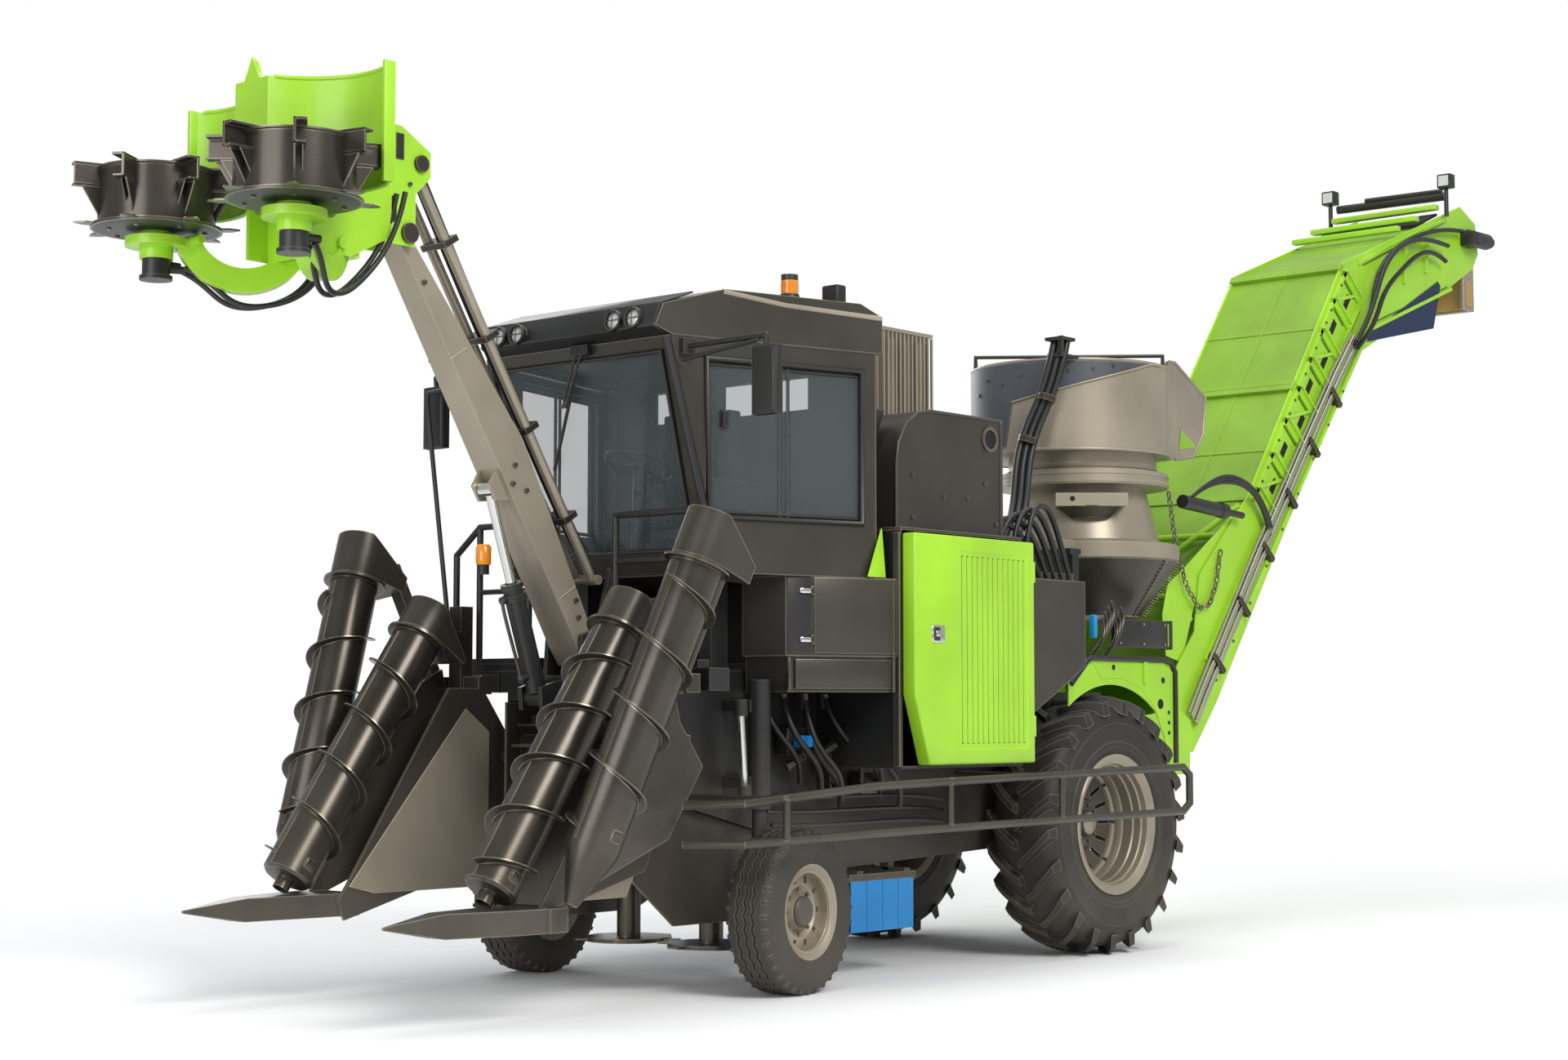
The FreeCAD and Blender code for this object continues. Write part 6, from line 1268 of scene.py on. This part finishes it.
def make_elevator_sides():
    for side, sign in SIDES:
        y = sign * 0.445
        out = sign * 0.020
        ribs = []
        # angle strip along the cover's edge and strips of the lower flange
        a, b = cover_point(0.02, -0.035), cover_point(2.22, -0.035)
        ribs.append(side_strip("edge", *a, *b, 0.030, y, y + out))
        ribs.append(side_strip("low", -1.70, 1.30, -4.12, 4.11, 0.030, y, y + sign * 0.024))
        ribs.append(side_strip("mid", -1.86, 1.72, -4.02, 4.28, 0.016, y, y + sign * 0.012))
        ribs.append(side_strip("nose_top", -4.02, 4.62, -5.45, 5.16, 0.028, y, y + out))
        ribs.append(side_strip("nose_low", -4.20, 4.16, -5.50, 4.62, 0.024, y, y + out))
        # cross channels at each station
        run = (Vector(COVER_LINE[1]) - Vector(COVER_LINE[0])).normalized()
        over = Vector((run.y, -run.x))
        for t in (0.10, 0.42, 0.74, 1.04, 1.32, 1.60, 1.90, 2.17):
            top = cover_point(t, -0.02)
            foot = top - over * 0.27
            ribs.append(side_strip("rib", *top, *foot, 0.046, y, y + sign * 0.020))
            ribs.append(side_strip("rib_lip", *(top + run * 0.020), *(foot + run * 0.020), 0.007, y,
                                   y + sign * 0.045))
        for t in (0.26, 0.90, 1.46, 2.04):
            a = cover_point(t - 0.10, -0.06)
            b = cover_point(t + 0.12, -0.06) - over * 0.18
            ribs.append(side_strip("brace", *a, *b, 0.022, y, y + sign * 0.014))
        # toothed lower edge
        low_run = (Vector((-4.12, 4.11)) - Vector((-1.70, 1.30))).normalized()
        for k in range(7):
            p = Vector((-1.85, 1.475)) + low_run * (0.46 * k)
            tooth = plate("tooth", "XZ",
                          (tuple(p), tuple(p + low_run * 0.10),
                           tuple(p + low_run * 0.09 + Vector((-0.035, -0.030)))), min(y, y + sign * 0.01),
                          max(y, y + sign * 0.01))
            ribs.append(tooth)
        for x, z in ((-4.35, 4.55), (-4.75, 4.70), (-5.10, 4.83)):
            ribs.append(side_strip("head_rib", x, z + 0.13, x + 0.03, z - 0.14, 0.040, y, y + sign * 0.024))
        done(join(f"elevator_ribs_{side}", ribs), "elevator", LIME)
        # dark lime strips beside the cover edge, the flanges and each rib: painted shade
        shades = []
        for a, b in ((cover_point(0.02, -0.056), cover_point(2.20, -0.056)), ((-1.92, 1.72), (-4.04, 4.27)),
                     ((-1.80, 1.40), (-4.05, 4.05)),
                     ((-4.10, 4.61), (-5.40, 5.12)), ((-4.26, 4.215), (-5.45, 4.63))):
            shades.append(side_strip("shade", *a, *b, 0.009, y, y + sign * 0.004))
        for t in (0.10, 0.42, 0.74, 1.04, 1.32, 1.60, 1.90, 2.17):
            top = cover_point(t, -0.05) - run * 0.030
            shades.append(side_strip("shade", *top, *(top - over * 0.20), 0.012, y, y + sign * 0.004))
        done(join(f"elevator_grooves_{side}", shades), "elevator", PAINTED_SHADE)
        # oblong lightening holes drawn as near-black patches of painted shade on the side plate, and bolt
        # heads
        holes = []
        for t, h in ((0.28, 0.17), (0.58, 0.13), (0.90, 0.19), (1.18, 0.13), (1.47, 0.18), (1.76, 0.13),
                     (2.05, 0.17)):
            c = cover_point(t, -0.02) - over * h
            holes.append(soften(side_strip("hole", *(c - run * 0.055), *(c + run * 0.055), 0.055, y,
                                           y + sign * 0.003), 0.022, 4, 60))
        done(join(f"elevator_holes_{side}", holes), "elevator", HOLE_SHADE)
        bolts = []
        for k in range(18):
            c = cover_point(0.06 + 0.125 * k, -0.035)
            bolts.append(rod("bolt", (c.x, y + out, c.y), (c.x, y + out + sign * 0.009, c.y), 0.010, sides=6))
        for k in range(9):
            c = Vector((-1.95, 1.592)) + low_run * (0.34 * k)
            bolts.append(rod("bolt", (c.x, y + sign * 0.024, c.y), (c.x, y + sign * 0.032, c.y), 0.010,
                             sides=6))
        done(join(f"elevator_bolts_{side}", bolts), "elevator", STEEL)
        # steel pipes beside the lower edge, then rubber hoses up to the head
        path = ((-1.66, 1.33), (-1.796, 1.512), (-2.471, 2.364), (-3.195, 3.235), (-3.62, 3.735),
                (-3.90, 4.03))
        normal = Vector((-low_run.y, low_run.x))
        for k in range(5):
            off = normal * (0.030 * (k - 2) - 0.02)
            points = [(x + off.x, y + sign * (0.036 + 0.008 * (k % 2)), z + off.y) for x, z in path]
            done(line(f"elevator_pipe_{side}_{k}", points, 0.0095, bent=False), "elevator",
                 CHROME if k % 2 else BEIGE)
        if sign > 0:
            hoses = (((-3.86, 4.00), (-4.10, 4.20), (-4.16, 4.45), (-4.30, 4.66), (-4.60, 4.84),
                      (-4.95, 4.97), (-5.35, 5.06), (-5.62, 5.08)),
                     ((-3.88, 3.98), (-4.14, 4.16), (-4.24, 4.38), (-4.42, 4.54), (-4.62, 4.66),
                      (-4.84, 4.80), (-5.10, 4.86), (-5.30, 4.80)),
                     ((-3.84, 4.02), (-4.06, 4.22), (-4.20, 4.52), (-4.40, 4.74), (-4.74, 4.90),
                      (-5.05, 4.93), (-5.32, 4.92)))
            for k, path in enumerate(hoses):
                points = [(x, y + 0.055 + 0.012 * k, z) for x, z in path]
                done(line(f"elevator_hose_{k}", points, 0.017), "elevator", BLACK)
            clamps = []
            for k in range(6):
                c = Vector((-1.95, 1.70)) + low_run * (0.50 * k)
                clamp = block("clamp", (-0.018, 0.0, -0.085), (0.018, 0.060, 0.085))
                clamp.matrix_world = Matrix.Translation((c.x, y, c.y)) @ Matrix(((low_run.x, 0, normal.x, 0),
                        (0, 1, 0, 0), (low_run.y, 0, normal.y, 0), (0, 0, 0, 1)))
                clamps.append(settle(clamp))
            done(join("pipe_clamps", clamps), "elevator", STEEL)


def make_elevator_head():
    for side, sign in SIDES:
        x = -5.375
        done(soften(block(f"head_lamp_{side}", (x - 0.045, sign * 0.49 - 0.055, 5.375),
                          (x + 0.045, sign * 0.49 + 0.055, 5.482)), 0.008, 2), "elevator", BLACK)
        done(rod(f"head_lamp_post_{side}", (x, sign * 0.49, 5.16), (x, sign * 0.49, 5.39), 0.017), "elevator",
             BLACK)
        done(block(f"head_lamp_glass_{side}", (x + 0.045, sign * 0.49 - 0.040, 5.39),
                   (x + 0.048, sign * 0.49 + 0.040, 5.468)), "elevator", LAMP)
    beam = [rod("bar", (-5.40, -0.44, 5.335), (-5.46, 0.44, 5.335), 0.032),
            rod("bar2", (-5.40, -0.20, 5.375), (-5.45, 0.42, 5.375), 0.020)]
    done(join("head_bar", beam), "elevator", BLACK)
    frames = [block("cross", (-4.72, -0.44, 4.95), (-4.66, 0.44, 4.99)),
              block("cross2", (-5.02, -0.44, 5.07), (-4.95, 0.44, 5.11)),
              block("cross3", (-5.36, -0.44, 5.21), (-5.29, 0.44, 5.25))]
    done(soften(join("head_frames", frames), 0.006, 2), "elevator", LIME)
    # near-black sheet in the head's opening: painted shade
    dark = plate("head_opening", "XZ", ((-4.98, 5.02), (-5.36, 5.17), (-5.36, 5.19), (-4.98, 5.04)), -0.42,
                 0.42)
    done(dark, "elevator", HOLE_SHADE)
    panel = plate("head_lid", "XZ", ((-4.655, 4.879), (-4.97, 4.995), (-4.97, 5.010), (-4.655, 4.894)), -0.43,
                  0.43)
    done(panel, "elevator", COVER)
    # tail box with its board, and the drive motor
    box = block("tail_box", (-5.94, -0.433, 4.50), (-5.76, 0.433, 4.90))
    carve(box, block("room", (-5.90, -0.405, 4.45), (-5.70, 0.405, 4.875)))
    done(soften(box, 0.004, 1), "elevator", BEIGE)
    board = block("tail_board", (-5.895, -0.40, 4.52), (-5.875, 0.40, 4.86))
    done(board, "elevator", TAN)
    side_boards = [block("board", (-5.90, sign * 0.436 - 0.003, 4.53), (-5.80, sign * 0.436 + 0.003, 4.72))
                   for sign in (1, -1)]
    done(join("tail_side_boards", side_boards), "elevator", TAN)
    parts = [block("motor", (-5.84, 0.445, 4.98), (-5.69, 0.565, 5.09)),
             rod("can", (-5.70, 0.50, 5.045), (-6.04, 0.50, 5.055), 0.062),
             rod("end", (-6.04, 0.50, 5.055), (-6.10, 0.50, 5.056), 0.045)]
    motor = done(soften(join("head_motor", parts), 0.008, 2), "elevator", BLACK)
    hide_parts("elevator_head")


def make_elevator_lift():
    for side, sign in SIDES:
        y = sign * 0.5
        parts = [rod("barrel", (-1.52, y, 2.725), (-2.00, y, 2.695), 0.045),
                 rod("gland", (-1.97, y, 2.70), (-2.03, y, 2.694), 0.052),
                 rod("rod", (-2.02, y, 2.695), (-2.26, y, 2.68), 0.022)]
        done(join(f"elevator_ram_{side}", parts), "elevator", BLACK)
        for k in range(3):
            points = [(-1.62, y + sign * 0.01, 2.76), (-1.80 - 0.05 * k, y + sign * 0.02, 2.86 + 0.03 * k),
                      (-2.16, y + sign * 0.02, 2.92 + 0.02 * k),
                      (-2.46 - 0.03 * k, y + sign * 0.01, 2.84), (-2.60 - 0.02 * k, y, 2.62)]
            done(line(f"ram_hose_{side}_{k}", points, 0.012), "elevator", BLACK)
        link = []
        path = [Vector((x, sign * out, z))
                for x, out, z in ((-2.05, 0.458, 2.44), (-1.97, 0.472, 2.22), (-1.88, 0.472, 2.08),
                                  (-1.75, 0.472, 2.05),
                                                             (-1.60, 0.472, 2.19), (-1.50, 0.46, 2.44),
                                                             (-1.475, 0.425, 2.785))]
        fresh()
        bpy.ops.mesh.primitive_torus_add(major_radius=0.0175, minor_radius=0.0055, major_segments=10,
                                         minor_segments=6)
        one = bpy.context.object
        one.scale = (1.5, 0.85, 1)
        settle(one)
        places = []
        for a, b in zip(path, path[1:]):
            steps = max(1, round((b - a).length / 0.046))
            for i in range(steps):
                places.append((a + (b - a) * ((i + 0.5) / steps), (b - a).normalized()))
        for i, (place, run) in enumerate(places):
            aim = Vector((1, 0, 0)).rotation_difference(run).to_matrix().to_4x4()
            turn = Matrix.Rotation(math.radians(90 * (i % 2)), 4, "X")
            link.append(twin(one, "link", Matrix.Translation(place) @ aim @ turn))
        bpy.data.objects.remove(one)
        chain = done(join(f"safety_chain_{side}", link), "elevator", STEEL)


# Hoses, plumbing and small fittings

def make_hood_dressing():
    # dark skin on the lower cone with a toothed seam
    skin = turn_up("cone_skin", ((0.366, 1.985), (0.604, 2.330), (0.600, 2.334), (0.362, 1.989)),
                   (-1.13, 0, 0), steps=72)
    done(skin, "chassis", DARK)
    teeth = []
    for i in range(22):
        t = i / 21
        r, z = 0.372 + 0.228 * t, 1.995 + 0.325 * t
        a = math.radians(118)
        c = Vector((-1.13 + r * math.cos(a), r * math.sin(a), z))
        out = Vector((math.cos(a), math.sin(a), -0.4))
        teeth.append(rod("tooth", c, c + out * 0.022, 0.006, sides=6))
    done(join("cone_teeth", teeth), "chassis", STEEL)
    # blue-grey painted shade on the hood's outer wall: it stands for the shaded inside above a slanted front
    # edge that is not cut, and for the shaded left facet
    centre = Vector((-1.078, -0.06, 0))
    angles = [-60 + 5 * i for i in range(33)]
    rows = []
    for a in angles:
        t = min(1, max(0, (a + 4) / 92))
        low = 3.30 + 0.252 * t ** 1.2 if a > -4 else 3.03
        rows.append((a, low))
    fresh()
    bpy.ops.mesh.primitive_grid_add(x_subdivisions=len(rows) - 1, y_subdivisions=1, size=2)
    shade_patch = bpy.context.object
    shade_patch.name = "hood_shade_patch"
    for vertex in shade_patch.data.vertices:
        i = round((vertex.co.x + 1) / 2 * (len(rows) - 1))
        a, low = rows[i]
        r = 0.6295
        z = 3.548 if vertex.co.y > 0 else low
        vertex.co = (centre.x + r * math.cos(math.radians(a)), centre.y + r * math.sin(math.radians(a)), z)
    hold(shade_patch)
    modifier = shade_patch.modifiers.new("thick", "SOLIDIFY")
    modifier.thickness = 0.003
    bpy.ops.object.modifier_apply(modifier=modifier.name)
    done(shade_patch, "extractor_hood", HOOD_SHADE, 60)
    edge = line("hood_edge", [(centre.x + 0.633 * math.cos(math.radians(a)),
                               centre.y + 0.633 * math.sin(math.radians(a)), low)
                               for a, low in rows if a > -4],
                0.007, bent=False)
    done(edge, "extractor_hood", BEIGE)
    spots = [rod("spot", (centre.x + 0.632 * math.cos(math.radians(a)),
                          centre.y + 0.632 * math.sin(math.radians(a)), z),
                 (centre.x + 0.640 * math.cos(math.radians(a)), centre.y + 0.640 * math.sin(math.radians(a)),
                  z), 0.012, sides=8)
             for a, z in ((-20, 3.46), (-8, 3.42), (6, 3.47), (20, 3.44), (34, 3.49), (48, 3.50), (-30, 3.38),
                          (60, 3.52))]
    done(join("hood_bolts", spots), "extractor_hood", STEEL)
    for sign in (1, -1):
        y = sign * 0.432
        window = plate("lip_window", "XZ", ((-1.60, 3.07), (-1.80, 3.10), (-1.62, 3.20)),
                       min(y, y + sign * 0.003), max(y, y + sign * 0.003))
        done(window, "extractor_hood", COVER)


def make_engine_hoses():
    # hoses that rise behind the engine door and pass to the extractor
    for k in range(5):
        x = 0.98 - 0.075 * k
        points = [(x, 0.62 + 0.05 * k, 2.10), (x - 0.02, 0.66 + 0.04 * k, 2.36 + 0.03 * k),
                  (x - 0.16, 0.72 + 0.03 * k, 2.50 + 0.03 * k),
                  (x - 0.34, 0.80, 2.40 + 0.02 * k), (x - 0.42, 0.84, 2.13)]
        done(line(f"bay_hose_{k}", points, 0.017), "chassis", BLACK)
    fittings = [rod("fitting", (0.56 - 0.075 * k, 0.84, 2.10), (0.56 - 0.075 * k, 0.84, 2.17), 0.021, sides=8)
                for k in range(5)]
    done(join("bay_fittings", fittings), "chassis", STEEL)
    # valve block beside the tank
    parts = [block("case", (-1.19, 0.585, 1.775), (-0.55, 0.615, 1.945)),
             block("end", (-1.195, 0.54, 1.770), (-1.165, 0.62, 1.950))]
    done(soften(join("control_case", parts), 0.006, 2), "chassis", BLACK)
    done(block("case_stripe", (-1.150, 0.615, 1.79), (-1.140, 0.618, 1.93)), "chassis", COVER)
    bolts = [rod("bolt", (x, 0.614, z), (x, 0.624, z), 0.008, sides=6) for x in (-0.60, -0.86, -1.10)
             for z in (1.80, 1.92)]
    done(join("case_bolts", bolts), "chassis", CHROME)
    done(soften(block("valve", (-0.30, 0.62, 1.82), (-0.26, 0.66, 1.96)), 0.01, 2), "chassis", BLUE)
    pipes = []
    for k in range(7):
        x, z = -0.32 - 0.035 * k, 1.72 + 0.035 * (k % 4)
        pipes.append(line("pipe",
                          [(x, 0.60, z), (x - 0.02, 0.66, z + 0.06), (x - 0.05, 0.68, z + 0.14),
                           (x - 0.08, 0.62, z + 0.22)], 0.013))
    done(join("valve_pipes", pipes), "chassis", STEEL)


def make_fender_edges():
    for side, sign in SIDES:
        y = sign * 0.955
        points = [(0.42, y, 1.54), (0.25, y, 1.678), (0.20, y, 1.690), (-0.56, y, 1.690), (-0.64, y, 1.672),
                  (-0.676, y, 1.62), (-0.676, y, 1.08)]
        done(line(f"fender_edge_{side}", points, 0.016, bent=False), "chassis", BLACK)
        low, high = sorted((sign * 0.941, sign * 0.949))
        sheet = plate(f"fender_plate_{side}", "XZ",
                      ((0.20, 1.675), (-0.55, 1.675), (-0.66, 1.62), (-0.66, 1.10), (-0.60, 1.10),
                       (-0.56, 1.24), (-0.45, 1.42),
                                                     (-0.30, 1.53), (-0.10, 1.58), (0.10, 1.57)), low, high)
        done(soften(sheet, 0.002, 1), "chassis", LIME)
        # near-black discs on the fender plate: painted shade of its holes
        holes = [rod("hole", (x, sign * 0.945, z), (x, sign * 0.951, z), r, sides=20) for x, z, r in
                 ((-0.55, 1.57, 0.018), (-0.52, 1.43, 0.030), (-0.61, 1.38, 0.012), (-0.61, 1.32, 0.012),
                  (-0.61, 1.26, 0.012), (-0.02, 1.64, 0.016))]
        done(join(f"fender_holes_{side}", holes), "chassis", HOLE_SHADE)
        low, high = sorted((sign * 0.949, sign * 0.962))
        done(block(f"fender_stay_{side}", (-0.36, low, 1.55), (-0.33, high, 1.675)), "chassis", LIME)


def make_under_cab():
    for side, sign in SIDES:
        # steering leg's chromed rod, its boots and the plumbing in the open bay under the cab
        done(rod(f"leg_rod_{side}", (2.97, sign * 0.76, 1.00), (3.00, sign * 0.76, 1.38), 0.019), "chassis",
             CHROME)
        parts = [rod("cap", (2.967, sign * 0.76, 0.96), (2.972, sign * 0.76, 1.02), 0.034),
                 rod("cap2", (3.00, sign * 0.76, 1.36), (3.004, sign * 0.76, 1.44), 0.036)]
        done(join(f"leg_caps_{side}", parts), "chassis", BLACK)
        runs = []
        for k in range(8):
            x, z = 2.62 - 0.11 * k, 1.36 - 0.045 * (k % 4)
            y = sign * (0.56 + 0.05 * (k % 3))
            runs.append(line("run", [(x, y, 1.46), (x + 0.03, y + sign * 0.06, z),
                                     (x - 0.05, y + sign * 0.12, z - 0.14),
                                     (x - 0.22, y + sign * 0.08, z - 0.22),
                                     (x - 0.30, y, z - 0.34)], 0.014 + 0.003 * (k % 2)))
        done(join(f"bay_runs_{side}", runs), "chassis", BLACK)
        ends = [rod("end", (2.62 - 0.11 * k, sign * (0.56 + 0.05 * (k % 3)), 1.40),
                    (2.62 - 0.11 * k, sign * (0.56 + 0.05 * (k % 3)), 1.47), 0.022, sides=8)
                for k in range(8)]
        ends += [rod("gland", (2.45 - 0.25 * k, sign * 0.58, 1.10 + 0.05 * k),
                     (2.36 - 0.25 * k, sign * 0.62, 1.16 + 0.05 * k), 0.026, sides=8) for k in range(4)]
        done(join(f"bay_ends_{side}", ends), "chassis", STEEL)
        for k in range(3):
            points = [(2.60, sign * (0.55 + 0.03 * k), 0.95 - 0.07 * k),
                      (2.20, sign * (0.60 + 0.03 * k), 0.92 - 0.07 * k),
                      (1.60, sign * (0.58 + 0.02 * k), 0.97 - 0.07 * k),
                      (1.10, sign * 0.56, 0.90 - 0.06 * k)]
            done(line(f"sill_pipe_{side}_{k}", points, 0.012), "chassis", STEEL if k % 2 else BLACK)
        low, high = sorted((sign * 0.52, sign * 0.60))
        parts = [block("valve", (2.30, low, 1.16), (2.46, high, 1.30)),
                 block("bracket", (2.02, low, 0.98), (2.12, high, 1.18)),
                 block("block", (1.72, low, 0.95), (1.86, high, 1.06))]
        done(soften(join(f"bay_blocks_{side}", parts), 0.006, 2), "chassis", STEEL)
        low, high = sorted((sign * 0.60, sign * 0.66))
        done(soften(block(f"bay_valve_{side}", (2.33, low, 1.20), (2.42, high, 1.26)), 0.006, 2), "chassis",
             BLUE)


def make_rail_fittings():
    lamp = turn_up("deck_lamp",
                   ((0.001, 0), (0.038, 0), (0.040, 0.02), (0.040, 0.09), (0.030, 0.105), (0.001, 0.108)),
                   (3.405, -0.665, 2.14), steps=24)
    done(lamp, "chassis", AMBER)
    done(rod("deck_lamp_foot", (3.405, -0.665, 2.09), (3.405, -0.665, 2.145), 0.030), "chassis", BLACK)
    flaps = [block("flap", (1.42 + 0.134 * k, y - 0.004, 0.225), (1.548 + 0.134 * k, y + 0.004, 0.50))
             for k in range(4) for y in (0.596, -0.596)]
    bars = [block("bar", (1.40, y - 0.012, 0.49), (1.965, y + 0.012, 0.53)) for y in (0.59, -0.59)]
    done(soften(join("flap_bars", bars), 0.003, 1), "chassis", DARK)
    curtain = done(soften(join("blue_flaps", flaps), 0.002, 1), "chassis", BLUE)
    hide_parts("mud_flap")
    hangers = [block("hanger", (x, -0.60, 0.50), (x + 0.05, 0.60, 0.545)) for x in (1.45, 1.85)]
    done(join("flap_hangers", hangers), "chassis", BLACK)
    stays = [block("stay", (x, sign * 0.47 - 0.02, 0.53), (x + 0.05, sign * 0.47 + 0.02, 0.62))
             for x in (1.45, 1.85) for sign in (1, -1)]
    done(join("flap_stays", stays), "chassis", BLACK)


def make_divider_lit_patches():
    # beige sheet on each divider's inner side: painted light for the sunlit inner plate
    for side, sign in SIDES:
        body = f"divider_{side}"
        low, high = sorted((sign * 0.548, sign * 0.553))
        panel = plate(f"divider_liner_{side}", "XZ",
                      ((3.62, 1.40), (4.36, 0.54), (4.20, 0.50), (3.58, 0.50), (3.46, 0.74), (3.46, 1.28)),
                      low, high)
        done(soften(panel, 0.002, 1), body, BEIGE)


fresh()
look_camera()
studio()
floor()
dress_nodes()
make_augers()
make_rear_wheels()
make_front_wheels()
make_topper_drums()
make_topper_head()
make_boom_fittings()
make_cab_fittings()
make_seat()
make_doors()
make_boxes()
make_cowl()
make_extractor()
make_elevator_cover()
make_elevator_sides()
make_elevator_head()
make_elevator_lift()
make_hood_dressing()
make_engine_hoses()
make_fender_edges()
make_under_cab()
make_rail_fittings()
make_divider_lit_patches()
bpy.context.scene.view_settings.view_transform = "Standard"
